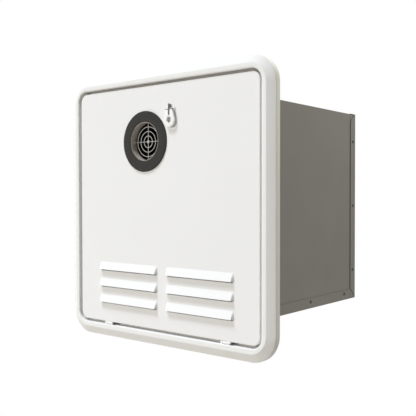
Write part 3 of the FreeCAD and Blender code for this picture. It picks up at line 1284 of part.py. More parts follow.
def make_control_box():
    """Control box against the right wall, with its board, cover and power rocker."""
    wall = "casing_half - 2 * sheet_thick"
    side = "control_left + control_wall"
    low = "control_low + control_wall"
    high = "control_high - control_wall"
    tray = body("control_box")
    extrude(tray, "Y", "control_front", "control_back",
            rectangle("control_left", wall, "control_low", "control_high"))
    pocket(tray, "Y", "control_front", "control_back - control_wall",
           rectangle(side, f"{wall} - control_wall", low, high))
    for x in (f"{side} + 3 * board_gap", f"{wall} - control_wall - 3 * board_gap"):
        for z in (f"{low} + 3 * board_gap", f"{high} - 3 * board_gap"):
            extrude(tray, "Y", "board_front + board_thick", "control_back - control_wall",
                    circle(x, z, "board_gap / 2"))

    board = body("circuit_board")
    extrude(board, "Y", "board_front", "board_front + board_thick", rectangle(
        f"{side} + board_gap", f"{wall} - control_wall - board_gap", f"{low} + board_gap",
        f"{high} - board_gap"))
    for x, z, size in ((84, 30, 9), (106, 34, 7), (128, 40, 9), (88, 66, 6), (120, 70, 8), (134, 90, 5)):
        extrude(board, "Y", f"board_front - {size}", "board_front",
                rectangle(f"{x - size}", f"{x + size}", f"{z - size}", f"{z + size}"))
    for x, z in ((100, 92), (84, 108), (136, 112)):
        extrude(board, "Y", "board_front - 3 * board_gap", "board_front", circle(f"{x}", f"{z}", "board_gap"))

    cover = body("control_cover")
    front = "control_front - cover_thick"
    panel = extrude(cover, "Y", front, "control_front",
                    rectangle("control_left", wall, "control_low", "control_high"))
    fillet(cover, panel, level_edges(panel, front), "rim_round")
    wide, tall = "switch_half_wide + switch_gap", "switch_half_high + switch_gap"
    hole = ("switch_x - ({0})".format(wide), "switch_x + {0}".format(wide),
            "switch_z - ({0})".format(tall), "switch_z + {0}".format(tall))
    pocket(cover, "Y", front, "control_front", rectangle(*hole))
    for left in (f"{hole[0]} - control_wall", hole[1]):
        extrude(cover, "X", left, f"{left} + control_wall", rectangle(
            "control_front", "rocker_axis + 4 * rocker_pin",
            "switch_z - 4 * rocker_pin", "switch_z + 4 * rocker_pin"))
    pocket(cover, "X", f"{hole[0]} - control_wall", f"{hole[1]} + control_wall",
           circle("rocker_axis", "switch_z", "rocker_pin + running_gap"))

    rocker = doc.addObject("PartDesign::Body", "power_rocker_body")
    rocker.Label = "power_rocker_core"
    crest = "rocker_axis - 5.5 * rocker_pin"
    extrude(rocker, "X", "switch_x - switch_half_wide", "switch_x + switch_half_wide", polygon(
        (f"{crest} - 1.2", "switch_z + switch_half_high - 0.5"), (crest, "switch_z"),
        (f"{crest} - 1.2", "switch_z - switch_half_high + 0.5"),
        ("rocker_axis + 2 * rocker_pin", "switch_z - 2 * rocker_pin"),
        ("rocker_axis + 2 * rocker_pin", "switch_z + 2 * rocker_pin")))
    extrude(rocker, "X", f"{hole[0]} - control_wall + 0.2", f"{hole[1]} + control_wall - 0.2",
            circle("rocker_axis", "switch_z", "rocker_pin"))
    pivot = V(0, number("rocker_axis"), number("switch_z"))
    tilt = FreeCAD.Rotation(V(1, 0, 0), -number("rocker_tilt"))
    rocker.Placement = FreeCAD.Placement(V(), tilt, pivot)
    piece(rocker, "power_rocker")


def make_ignition():
    """Ignition module on the right wall and its two leads to the electrodes."""
    wall = "casing_half - 2 * sheet_thick"
    piece(box(("module_left", wall), ("module_front", "module_back"), ("module_low", "module_high")),
          "ignition_module")
    leads = []
    for k, sign in enumerate(SIDES):
        x = f"outlet_x + {sign}electrode_at"
        z = f"module_high - (4 + {k} * 5) * lead_radius"
        y = f"module_front + (6 + {k} * 9) * lead_radius"
        beside = f"outlet_x + stack_half + lead_gap - {k} * 3 * lead_radius"
        ahead = f"manifold_front - lead_gap - {k} * 3 * lead_radius"
        leads.append(rod([("module_left", y, z), (beside, y, z), (beside, ahead, "electrode_z"),
                          (x, ahead, "electrode_z"), (x, "manifold_front", "electrode_z")],
                         "lead_radius", "lead_radius * 4"))
    made = doc.addObject("Part::Feature", "leads_sweep")
    made.Shape = Part.makeCompound(leads)
    piece(made, "ignition_leads")


def make_cable_gland():
    """The gland in the back panel that a supply cable would come through."""
    inside = "casing_deep - sheet_thick"
    nut = cylinder("gland_radius", ("gland_x", f"{inside} - collar_long", "gland_z"), "collar_long", "+Y")
    neck = cylinder("gland_neck", ("gland_x", inside, "gland_z"), "sheet_thick", "+Y")
    collar = cylinder("gland_radius", ("gland_x", "casing_deep", "gland_z"), "gland_out / 2", "+Y")
    dome = cone("gland_radius", "gland_neck * 0.75", ("gland_x", "casing_deep + gland_out / 2", "gland_z"),
                "gland_out / 2", "+Y")
    way = cylinder("gland_bore", ("gland_x", f"{inside} - collar_long", "gland_z"),
                   "collar_long + sheet_thick + gland_out", "+Y")
    piece(cut(fuse(nut, neck, collar, dome), way), "cable_gland")


# ---------------------------------------------------------------- check and write

def check_document():
    """Stop if any object failed or any piece is not a valid solid."""
    for item in doc.Objects:
        if "Invalid" in item.State or "Error" in item.State:
            raise RuntimeError(f"{item.Label} failed: {item.State}")
    for item in pieces:
        shape = item.Shape
        if shape.isNull() or not shape.isValid() or not shape.Solids:
            raise RuntimeError(f"{item.Label} has no valid solid")


def write_parts():
    """Write each piece to its own STEP file."""
    os.makedirs("parts", exist_ok=True)
    for item in pieces:
        item.Shape.exportStep(os.path.join("parts", item.Label + ".step"))
    print(len(pieces), "pieces written")


fill_sheet()
make_trim_frame()
make_casing_wrap()
make_bottom_pan()
make_back_panel()
make_casing_rivets()
make_frame_screws()
make_door_seal()
make_door_panel()
make_hinges()
make_exhaust_bezel()
make_louvre_screens()
make_door_insulation()
make_latch_spindle()
make_latch_parts()
make_latch_pull()
make_exhaust()
make_heat_exchanger()
make_burner()
make_blower()
make_gas_train()
make_water_connections()
make_flow_sensor()
make_water_pipes()
make_drain_valve()
make_control_box()
make_ignition()
make_cable_gland()
doc.recompute()
check_document()
write_parts()
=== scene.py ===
"""Looks of a recessed gas water heater: finishes, door skin, exhaust port, fasteners, camera and light.

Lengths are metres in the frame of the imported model: X to the right, Y into the wall, Z up, with the origin at
the centre of the trim frame on the outer surface of the wall. What stands proud of the wall is at negative Y.
"""

import json
import logging
import math
from collections.abc import Iterator
from contextlib import contextmanager
from dataclasses import dataclass, field
from enum import Enum

import bmesh
import bpy
import numpy as np
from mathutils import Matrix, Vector

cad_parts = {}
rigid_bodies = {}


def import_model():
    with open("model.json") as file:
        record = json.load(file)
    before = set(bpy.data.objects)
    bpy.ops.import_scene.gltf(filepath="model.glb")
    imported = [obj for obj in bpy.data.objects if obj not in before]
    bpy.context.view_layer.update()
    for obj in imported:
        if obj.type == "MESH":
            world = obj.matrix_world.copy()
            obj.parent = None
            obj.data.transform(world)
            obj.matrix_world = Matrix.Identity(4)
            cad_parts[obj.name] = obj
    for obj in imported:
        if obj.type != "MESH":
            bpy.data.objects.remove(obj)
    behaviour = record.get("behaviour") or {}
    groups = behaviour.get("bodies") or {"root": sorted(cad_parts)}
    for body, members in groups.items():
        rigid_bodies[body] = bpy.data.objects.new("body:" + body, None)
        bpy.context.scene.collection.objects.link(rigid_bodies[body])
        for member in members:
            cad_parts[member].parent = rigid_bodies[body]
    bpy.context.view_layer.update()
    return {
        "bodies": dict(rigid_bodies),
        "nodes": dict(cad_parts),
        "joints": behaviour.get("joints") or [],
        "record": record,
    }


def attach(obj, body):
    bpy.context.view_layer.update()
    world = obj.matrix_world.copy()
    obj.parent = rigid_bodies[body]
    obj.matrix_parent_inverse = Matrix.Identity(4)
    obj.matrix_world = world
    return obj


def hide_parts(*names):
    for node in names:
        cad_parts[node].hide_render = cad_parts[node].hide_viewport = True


LOG = logging.getLogger("water_heater")
MERGE = 1e-6  # points closer than this are one point
SHARP = 35.0  # degrees between two faces, above which their edge is shown sharp
FLAT = math.radians(0.5)  # angle between two faces, below which they are one flat face
SLACK = 1e-9  # allowance that keeps a whole number of gaps whole
DECIMALS = 7  # decimals of the place of a mesh line

Colour = tuple[float, float, float]
Point = tuple[float, float, float]
Span = tuple[float, float]
ACROSS, INWARD, UP = (1, 0, 0), (0, 1, 0), (0, 0, 1)  # axes of the heater

EXHAUST_X, EXHAUST_Z = -0.0334, 0.1002  # axis of the exhaust tube
DOOR_HALF = 0.1837  # half the width of the door
DOOR_CORNER = 0.013  # radius of the door's corners
DOOR_FACE = -0.0125  # depth of the door's flat face
BACK = 0.3013  # depth of the back panel's outer face


# ---------------------------------------------------------------- shader graph


class Value:
    """A number that varies over a surface. Arithmetic on it adds Math nodes to its graph."""

    def __init__(self, graph: "Graph", socket: bpy.types.NodeSocket) -> None:
        """Wraps the output socket of a node in graph."""
        self.graph = graph
        self.socket = socket

    def _join(self, operation: str, first: "float | Value", second: "float | Value") -> "Value":
        """Adds the Math node that joins two numbers."""
        return self.graph.number("ShaderNodeMath", {"operation": operation}, {0: first, 1: second})

    def __add__(self, other: "float | Value") -> "Value":
        """Sum."""
        return self._join("ADD", self, other)

    def __sub__(self, other: "float | Value") -> "Value":
        """Difference."""
        return self._join("SUBTRACT", self, other)

    def __rsub__(self, other: "float | Value") -> "Value":
        """Difference from a number."""
        return self._join("SUBTRACT", other, self)

    def __mul__(self, other: "float | Value") -> "Value":
        """Product."""
        return self._join("MULTIPLY", self, other)

    def __truediv__(self, other: "float | Value") -> "Value":
        """Quotient."""
        return self._join("DIVIDE", self, other)

    def __rtruediv__(self, other: "float | Value") -> "Value":
        """Quotient of a number by this value."""
        return self._join("DIVIDE", other, self)

    __radd__ = __add__
    __rmul__ = __mul__

    def __abs__(self) -> "Value":
        """Size without its sign."""
        return self.graph.number("ShaderNodeMath", {"operation": "ABSOLUTE"}, {0: self})

    def __pow__(self, power: float) -> "Value":
        """Power."""
        return self._join("POWER", self, power)

    def at_least(self, low: float) -> "Value":
        """The larger of this value and low."""
        return self._join("MAXIMUM", self, low)

    def step(self, low: float, high: float) -> "Value":
        """Smooth step: 0 below low, 1 above high."""
        settings = {"interpolation_type": "SMOOTHSTEP"}
        return self.graph.number("ShaderNodeMapRange", settings, {0: self, 1: low, 2: high})


class Graph:
    """The node tree of a material or a world."""

    def __init__(self, owner: bpy.types.Material | bpy.types.World) -> None:
        """Empties a node tree.

        Args:
            owner: The material or world whose tree it is.
        """
        owner.use_nodes = True
        self.owner = owner
        self.tree = owner.node_tree
        self.tree.nodes.clear()

    def node(self, kind: str, settings: dict, inputs: dict) -> bpy.types.Node:
        """Adds a node.

        Args:
            kind: The node's type.
            settings: Attributes, set before the sockets, such as a Math node's operation.
            inputs: A constant, a link or a Value for each socket, by its name or number.

        Returns:
            The node.
        """
        node = self.tree.nodes.new(kind)
        for name, setting in settings.items():
            setattr(node, name, setting)
        for name, given in inputs.items():
            link = given.socket if isinstance(given, Value) else given
            if isinstance(link, bpy.types.NodeSocket):
                self.tree.links.new(link, node.inputs[name])
            else:
                node.inputs[name].default_value = given
        return node

    def number(self, kind: str, settings: dict, inputs: dict, output: int | str = 0) -> Value:
        """Adds a node and wraps one of its outputs as a Value."""
        return Value(self, self.node(kind, settings, inputs).outputs[output])

    def place(self, stretch: Point = (1.0, 1.0, 1.0)) -> bpy.types.NodeSocket:
        """Finds the place on the piece.

        Args:
            stretch: How far a pattern is drawn out along each axis.

        Returns:
            The Object coordinates in metres, divided by stretch.
        """
        spot = self.node("ShaderNodeTexCoord", {}, {}).outputs["Object"]
        squeeze = {"Vector": spot, "Scale": tuple(1.0 / s for s in stretch)}
        return self.node("ShaderNodeMapping", {}, squeeze).outputs["Vector"]

    def noise(self, place: bpy.types.NodeSocket, size: float, detail: float) -> Value:
        """Noise around a half, with blobs of the given size in metres, finer with more detail."""
        inputs = {"Vector": place, "Scale": 1.0 / size, "Detail": detail}
        return self.number("ShaderNodeTexNoise", {}, inputs)

    def cells(self, place: bpy.types.NodeSocket, size: float, feature: str = "F1",
              disorder: float = 1.0) -> Value:
        """Distance to the centre, or to the edge, of cells of the given size, square where disorder is 0."""
        inputs = {"Vector": place, "Scale": 1.0 / size, "Randomness": disorder}
        return self.number("ShaderNodeTexVoronoi", {"feature": feature}, inputs)

    def blend(self, factor: "float | Value", first: object, second: object) -> bpy.types.NodeSocket:
        """Mixes two colours.

        Args:
            factor: 0 for the first colour, 1 for the second.
            first: Three numbers, or a colour socket.
            second: Three numbers, or a colour socket.

        Returns:
            The socket of the mixed colour.
        """
        pair = [(*c, 1.0) if isinstance(c, tuple) else c for c in (first, second)]
        inputs = {0: factor, 6: pair[0], 7: pair[1]}
        return self.node("ShaderNodeMix", {"data_type": "RGBA"}, inputs).outputs[2]

    def output(self, shader: bpy.types.NodeSocket) -> bpy.types.Material | bpy.types.World:
        """Ends the graph.

        Args:
            shader: The shader that the surface or the world shows.

        Returns:
            The graph's owner.
        """
        kind = "World" if isinstance(self.owner, bpy.types.World) else "Material"
        self.node(f"ShaderNodeOutput{kind}", {}, {"Surface": shader})
        return self.owner


# ---------------------------------------------------------------- finishes


class Grain(Enum):
    """The relief of a finish."""

    PEEL = "orange peel of sprayed paint"
    BRUSHED = "straight rolling or brushing marks"
    CAST = "pits of a casting"
    MOULDED = "fine texture of a mould"
    FIBROUS = "matted fibres"
    SPANGLE = "crystals of a zinc coat"


PIT_SIZE, PIT_SHARE = 2.0, 0.4  # a casting's pits: size, in grains, and share of the relief
STRAND_EDGE, FLUFF_SIZE = 0.35, 0.6  # matted fibres: where a strand ends, and the fluff's size in grains


@dataclass(frozen=True)
class Finish:
    """One surface finish: two colours in soft patches, a relief, and gloss that varies with both.

    patch is the size of the patches, cover how far the second colour shows in them, and hollow how far it
    shows in the hollows of the relief. spread is how far the roughness wanders, in blobs of rubbed times the
    patch. size, depth and stretch are the relief's.
    """

    colour: Colour
    second: Colour
    roughness: float
    grain: Grain
    metallic: float = 0.0
    coat: float = 0.0
    coat_roughness: float = 0.12
    patch: float = 0.04
    patch_edges: Span = (0.35, 0.7)
    cover: float = 0.5
    hollow: float = 0.12
    rubbed: float = 0.6
    spread: float = 0.06
    size: float = 0.0008
    depth: float = 0.00002
    stretch: Point = (1.0, 1.0, 1.0)

    def relief(self, graph: Graph) -> Value:
        """Draws the relief.

        Args:
            graph: The material's graph.

        Returns:
            Its height, about 0 to 1.
        """
        place = graph.place(self.stretch)
        match self.grain:
            case Grain.BRUSHED:
                return graph.noise(place, self.size, detail=5.0)
            case Grain.CAST:
                pits = graph.cells(place, self.size * PIT_SIZE)
                return graph.noise(place, self.size, detail=6.0) * (1.0 - PIT_SHARE) + pits * PIT_SHARE
            case Grain.FIBROUS:
                strands = graph.cells(place, self.size, "DISTANCE_TO_EDGE").step(0.0, STRAND_EDGE)
                return strands * 0.5 + graph.noise(place, self.size * FLUFF_SIZE, detail=8.0) * 0.5
            case Grain.SPANGLE:
                return graph.cells(place, self.size)
            case _:
                return graph.noise(place, self.size, detail=2.0)

    def colours(self, graph: Graph, relief: Value) -> bpy.types.NodeSocket:
        """The colour: the second one shows in soft patches and a little in the hollows of the relief."""
        patches = graph.noise(graph.place(), self.patch, detail=4.0).step(*self.patch_edges)
        return graph.blend(patches * self.cover + (1.0 - relief) * self.hollow, self.colour, self.second)

    def material(self, name: str) -> bpy.types.Material:
        """Builds the node material.

        Args:
            name: The material's name.

        Returns:
            The material.
        """
        graph = Graph(bpy.data.materials.new(name))
        relief = self.relief(graph)
        rubbed = graph.noise(graph.place(), self.patch * self.rubbed, detail=5.0)
        rough = self.roughness + (rubbed - 0.5) * (2.0 * self.spread) + (relief - 0.5) * self.spread
        bump = {"Height": relief, "Distance": self.depth, "Strength": 1.0}
        shader = graph.node("ShaderNodeBsdfPrincipled", {}, {
            "Base Color": self.colours(graph, relief),
            "Metallic": self.metallic,
            "Roughness": rough,
            "Coat Weight": self.coat,
            "Coat Roughness": self.coat_roughness,
            "Normal": graph.node("ShaderNodeBump", {}, bump).outputs["Normal"],
        })
        return graph.output(shader.outputs["BSDF"])


def axes(graph: Graph) -> tuple[Value, ...]:
    """The three Object coordinates in metres, as values."""
    spot = graph.node("ShaderNodeSeparateXYZ", {}, {"Vector": graph.place()})
    return tuple(Value(graph, spot.outputs[k]) for k in range(3))


@dataclass(frozen=True)
class HeatTinted(Finish):
    """Metal that heat has tinted: straw and brown bands that wander along the depth of the heater."""

    tint: Colour = (0.22, 0.12, 0.06)
    band: float = 0.05
    band_edges: Span = (0.38, 0.62)
    wander: Point = (4.0, 1.0, 4.0)
    cast: float = 0.65

    def colours(self, graph: Graph, relief: Value) -> bpy.types.NodeSocket:
        """The plain colours with the tint laid over them in wide bands."""
        bands = graph.noise(graph.place(self.wander), self.band, detail=3.0).step(*self.band_edges)
        return graph.blend(bands * self.cast, super().colours(graph, relief), self.tint)


@dataclass(frozen=True)
class ExhaustFinish(HeatTinted):
    """The exhaust tube's steel: tinted, with a browned lip, and near-black painted shade inside from the grille
    on.
    """

    bore: float = 0.0289
    bore_fade: float = 0.0002
    lip: float = -0.0133
    lip_fade: float = 0.0008
    lip_cover: float = 0.9
    grille: float = -0.0045
    grille_fade: float = 0.003
    brown: Colour = (0.27, 0.235, 0.195)
    tube_shade: Colour = (0.020, 0.018, 0.015)

    def colours(self, graph: Graph, relief: Value) -> bpy.types.NodeSocket:
        """Lays the brown and the painted shade over the tinted steel.

        The painted shade lies behind the grille, where the distance from the tube's axis, the root of (x - X)^2
        + (z - Z)^2, is under the bore.

        Args:
            graph: The material's graph.
            relief: Height of the relief.

        Returns:
            The colour.
        """
        x, y, z = axes(graph)
        away = ((x - EXHAUST_X) ** 2 + (z - EXHAUST_Z) ** 2) ** 0.5
        inside = 1.0 - away.step(self.bore, self.bore + self.bore_fade)
        lip = 1.0 - y.step(self.lip, self.lip + self.lip_fade)
        steel = graph.blend(lip * self.lip_cover, super().colours(graph, relief), self.brown)
        # painted shade: the tube's inside turns near-black behind the grille, where it lies deep in shadow
        return graph.blend(inside * y.step(self.grille, self.grille + self.grille_fade), steel, self.tube_shade)


@dataclass(frozen=True)
class CasingFinish(Finish):
    """The casing's coated steel, with a dark line of painted shade in the seam before its rear flange."""

    seam: float = BACK - 0.016
    line: float = 0.0016
    seam_shade: Colour = (0.10, 0.092, 0.080)
    seam_shade_cover: float = 0.8

    def colours(self, graph: Graph, relief: Value) -> bpy.types.NodeSocket:
        """The painted seam shade is 1 - |y - seam| / line, softened, over the plain colours."""
        near = (1.0 - abs(axes(graph)[1] - self.seam) / self.line).step(0.0, 1.0)
        # painted shade: a dark line along the seam, where the flange's step throws shade
        return graph.blend(near * self.seam_shade_cover, super().colours(graph, relief), self.seam_shade)


@dataclass(frozen=True)
class FrameFinish(Finish):
    """The trim frame's plastic, with a dark band of painted shade in the corner behind the door's edge."""

    gap_shade: Colour = (0.34, 0.31, 0.255)
    gap: float = 0.0043
    shade_band: Span = (0.55, 0.95)
    front: float = -0.009
    fade: float = 0.0006

    def colours(self, graph: Graph, relief: Value) -> bpy.types.NodeSocket:
        """Lays the painted shade over the plain colours.

        The distance outside the door's outline is the root of a^2 + b^2, less the corner's radius, where a and
        b are how far |x| and |z| go past the start of the corner. The painted shade lies where that distance is
        within the gap and the depth is behind its front.

        Args:
            graph: The material's graph.
            relief: Height of the relief.

        Returns:
            The colour.
        """
        x, y, z = axes(graph)
        past = [(abs(v) - (DOOR_HALF - DOOR_CORNER)).at_least(0.0) ** 2 for v in (x, z)]
        away = (past[0] + past[1]) ** 0.5 - DOOR_CORNER
        shade_band = away.step(0.0, self.fade) * (1.0 - away.step(*(self.gap * end for end in self.shade_band)))
        deep = y.step(self.front - self.fade, self.front + self.fade)
        # painted shade: a dark band in the door gap, where the frame's recess lies in shadow
        return graph.blend(shade_band * deep, super().colours(graph, relief), self.gap_shade)


@dataclass(frozen=True)
class BoardFinish(Finish):
    """A circuit board: lacquer over a maze of copper tracks."""

    track: Colour = (0.10, 0.30, 0.17)
    track_edges: Span = (0.04, 0.09)
    cell: float = 1 / 260
    disorder: float = 0.75

    def colours(self, graph: Graph, relief: Value) -> bpy.types.NodeSocket:
        """The lacquer, lighter over the tracks between nearly square cells."""
        gaps = graph.cells(graph.place(), self.cell, "DISTANCE_TO_EDGE", self.disorder)
        return graph.blend(gaps.step(*self.track_edges), self.track, super().colours(graph, relief))


def metal(colour: Colour, second: Colour, roughness: float, **more: object) -> Finish:
    """A rolled or brushed bare metal."""
    given = {"metallic": 1.0, "grain": Grain.BRUSHED, "stretch": (1.0, 14.0, 1.0), "size": 0.0005, **more}
    return Finish(colour, second, roughness, **given)


def plastic(colour: Colour, second: Colour, roughness: float, **more: object) -> Finish:
    """A moulded plastic or rubber."""
    given = {"grain": Grain.MOULDED, "size": 0.0004, "depth": 0.00003, **more}
    return Finish(colour, second, roughness, **given)


FINISHES: dict[str, Finish] = {
    "trim_white": FrameFinish((0.86, 0.86, 0.845), (0.80, 0.795, 0.775), 0.42, Grain.MOULDED, cover=0.25,
                              size=0.0009, depth=0.00001, patch=0.09),
    "door_white": Finish((0.86, 0.86, 0.85), (0.815, 0.81, 0.795), 0.40, Grain.PEEL, coat=0.15, cover=0.2,
                         patch=0.12, size=0.0011, depth=0.000012),
    "bezel_dark": Finish((0.015, 0.0145, 0.012), (0.011, 0.010, 0.0085), 0.62, Grain.CAST, size=0.0011,
                         depth=0.00010, patch=0.012, spread=0.08),
    "latch_white": plastic((0.93, 0.93, 0.92), (0.88, 0.875, 0.86), 0.35, cover=0.25, size=0.0006,
                           depth=0.00001, patch=0.01),
    "latch_dark": Finish((0.20, 0.185, 0.155), (0.10, 0.091, 0.075), 0.38, Grain.CAST, metallic=0.6,
                         size=0.0006, depth=0.00003, patch=0.003),
    "rivet_dark": metal((0.085, 0.082, 0.075), (0.05, 0.048, 0.044), 0.5, metallic=0.6, patch=0.003),
    "casing_steel": CasingFinish((0.195, 0.182, 0.163), (0.166, 0.155, 0.137), 0.46, Grain.BRUSHED,
                                 metallic=0.45, patch=0.11, spread=0.04, size=0.0007, depth=0.000006,
                                 stretch=(1.0, 1.0, 26.0)),
    "zinc": Finish((0.50, 0.50, 0.48), (0.34, 0.34, 0.33), 0.38, Grain.SPANGLE, metallic=0.9, size=0.003,
                   depth=0.00001, patch=0.008),
    "stainless": metal((0.56, 0.55, 0.51), (0.42, 0.405, 0.37), 0.36, patch=0.02, depth=0.00001),
    "scorched": HeatTinted((0.45, 0.42, 0.38), (0.30, 0.27, 0.23), 0.42, Grain.BRUSHED, metallic=0.85,
                           stretch=(1.0, 10.0, 1.0), size=0.0006, patch=0.015, tint=(0.27, 0.20, 0.14)),
    "exhaust_steel": ExhaustFinish((0.70, 0.66, 0.60), (0.54, 0.49, 0.43), 0.45, Grain.BRUSHED, metallic=0.3,
                                   stretch=(1.0, 10.0, 1.0), size=0.0006, patch=0.015,
                                   tint=(0.36, 0.30, 0.235), cast=0.35),
    "seal_rubber": plastic((0.020, 0.020, 0.020), (0.035, 0.034, 0.032), 0.75, depth=0.00006, patch=0.02),
    "fibre": Finish((0.66, 0.61, 0.52), (0.50, 0.44, 0.35), 0.92, Grain.FIBROUS, size=0.0022, depth=0.0004,
                    patch=0.02),
    "copper": HeatTinted((0.72, 0.36, 0.22), (0.48, 0.21, 0.12), 0.34, Grain.BRUSHED, metallic=1.0,
                         patch=0.02, size=0.0006, depth=0.00001, tint=(0.30, 0.12, 0.09)),
    "aluminised": Finish((0.56, 0.565, 0.57), (0.42, 0.42, 0.42), 0.44, Grain.SPANGLE, metallic=0.9,
                         size=0.005, depth=0.00001, patch=0.05, spread=0.1),
    "brass": metal((0.72, 0.53, 0.24), (0.50, 0.34, 0.14), 0.32, patch=0.012, depth=0.00001),
    "gas_yellow": Finish((0.66, 0.47, 0.05), (0.52, 0.36, 0.04), 0.38, Grain.PEEL, coat=0.2, patch=0.02),
    "valve_alloy": Finish((0.50, 0.505, 0.51), (0.38, 0.38, 0.385), 0.55, Grain.CAST, metallic=0.8,
                          size=0.0012, depth=0.00012, patch=0.015),
    "coil_black": plastic((0.022, 0.022, 0.023), (0.038, 0.037, 0.036), 0.48, patch=0.015),
    "blower_grey": plastic((0.085, 0.087, 0.09), (0.11, 0.11, 0.11), 0.55, patch=0.03, depth=0.00005),
    "wheel_white": plastic((0.62, 0.61, 0.57), (0.50, 0.49, 0.45), 0.5, patch=0.01),
    "steel_shaft": metal((0.60, 0.60, 0.59), (0.48, 0.48, 0.47), 0.2, depth=0.000005),
    "motor_black": Finish((0.035, 0.035, 0.038), (0.055, 0.054, 0.052), 0.5, Grain.CAST, size=0.001,
                          depth=0.00008, patch=0.015),
    "turbine_blue": plastic((0.03, 0.11, 0.34), (0.02, 0.08, 0.26), 0.4, patch=0.006),
    "clamp_grey": plastic((0.20, 0.205, 0.21), (0.15, 0.15, 0.155), 0.55, patch=0.01),
    "lever_red": plastic((0.48, 0.03, 0.02), (0.36, 0.02, 0.015), 0.42, patch=0.01),
    "box_grey": plastic((0.055, 0.057, 0.06), (0.075, 0.075, 0.075), 0.52, patch=0.03, depth=0.00006),
    "board_green": BoardFinish((0.012, 0.13, 0.055), (0.010, 0.10, 0.045), 0.34, Grain.MOULDED, coat=0.4,
                               patch=0.02),
    "rocker_black": plastic((0.015, 0.015, 0.016), (0.025, 0.025, 0.025), 0.28, patch=0.01),
    "lead_orange": plastic((0.52, 0.13, 0.02), (0.42, 0.10, 0.015), 0.48, patch=0.01),
    "ceramic": plastic((0.80, 0.78, 0.72), (0.66, 0.60, 0.50), 0.3, coat=0.5, patch=0.008),
}
# The finish of the stainless pieces that heat tints, by node.
HEATED = {"exhaust_outlet": "exhaust_steel", "burner_bars": "scorched"}


# ---------------------------------------------------------------- surfaces


def quads(rows: int, columns: int, close_rows: bool = False, close_columns: bool = False) -> np.ndarray:
    """Corner numbers of the quads between neighbours on a grid of points.

    Args:
        rows: Points in the first direction.
        columns: Points in the second direction.
        close_rows: Whether the last row joins the first.
        close_columns: Whether the last column joins the first.

    Returns:
        An array of rows x columns x 4 numbers, one set for each quad.
    """
    row = np.arange(rows if close_rows else rows - 1)[:, None]
    column = np.arange(columns if close_columns else columns - 1)[None, :]
    below, right = (row + 1) % rows, (column + 1) % columns
    here, next_row = row * columns, below * columns
    return np.stack([here + column, next_row + column, next_row + right, here + right], axis=-1)


def rounded(corners: list[Span], radii: list[float] | tuple[float, ...], steps: int) -> np.ndarray:
    """Rounds the corners of a closed outline.

    Each corner P between the tangent points A and B becomes the rational curve
    ((1-t)^2 A + 2 w t (1-t) P + t^2 B) / ((1-t)^2 + 2 w t (1-t) + t^2). It is a circular arc when w is the
    cosine of half the arc's angle.

    Args:
        corners: The outline's corners in order.
        radii: The radius of each corner.
        steps: Points on each arc.

    Returns:
        The points, (corners x steps) x 2.
    """
    here = np.array(corners, float)
    ways = [np.roll(here, shift, axis=0) - here for shift in (1, -1)]
    ways = [way / np.linalg.norm(way, axis=1, keepdims=True) for way in ways]
    half = np.arccos(np.clip((ways[0] * ways[1]).sum(axis=1), -1, 1)) / 2
    reach = (np.array(radii) / np.tan(half))[:, None]
    start, end = here + ways[0] * reach, here + ways[1] * reach
    t = np.linspace(0, 1, steps)[None, :, None]
    weight = np.sin(half)[:, None, None]
    middle = 2 * weight * t * (1 - t)
    curve = (1 - t) ** 2 * start[:, None] + middle * here[:, None] + t ** 2 * end[:, None]
    return (curve / ((1 - t) ** 2 + middle + t ** 2)).reshape(-1, 2)


def soft_ramp(t: np.ndarray, blur: float) -> np.ndarray:
    """A ramp with soft bends: 0 below 0, t between, 1 above 1.

    Each bend is a parabola: clip(t + blur, 0, 2 blur)^2 / (4 blur), and the same of t - 1 taken away.

    Args:
        t: Places along the ramp.
        blur: How far each bend reaches to both sides.

    Returns:
        The heights.
    """
    low = np.clip(t + blur, 0, 2 * blur) ** 2 / (4 * blur)
    high = np.clip(t - 1 + blur, 0, 2 * blur) ** 2 / (4 * blur)
    return low + np.clip(t - blur, 0, None) - high - np.clip(t - 1 - blur, 0, None)


def stations(*stops: tuple[float, float, float]) -> np.ndarray:
    """Sorted positions: each stop is (start, end, greatest gap), split evenly."""
    spans = [np.linspace(a, b, max(2, math.ceil(abs(b - a) / gap - SLACK) + 1)) for a, b, gap in stops]
    return np.unique(np.round(np.concatenate(spans), DECIMALS))


@contextmanager
def merged(mesh: bpy.types.Mesh) -> Iterator[bmesh.types.BMesh]:
    """Opens a mesh for editing, merges its doubled points, and writes it back at the end.

    Args:
        mesh: The mesh.

    Yields:
        The mesh as a BMesh.
    """
    edit = bmesh.new()
    edit.from_mesh(mesh)
    bmesh.ops.remove_doubles(edit, verts=edit.verts, dist=MERGE)
    yield edit
    edit.to_mesh(mesh)
    edit.free()


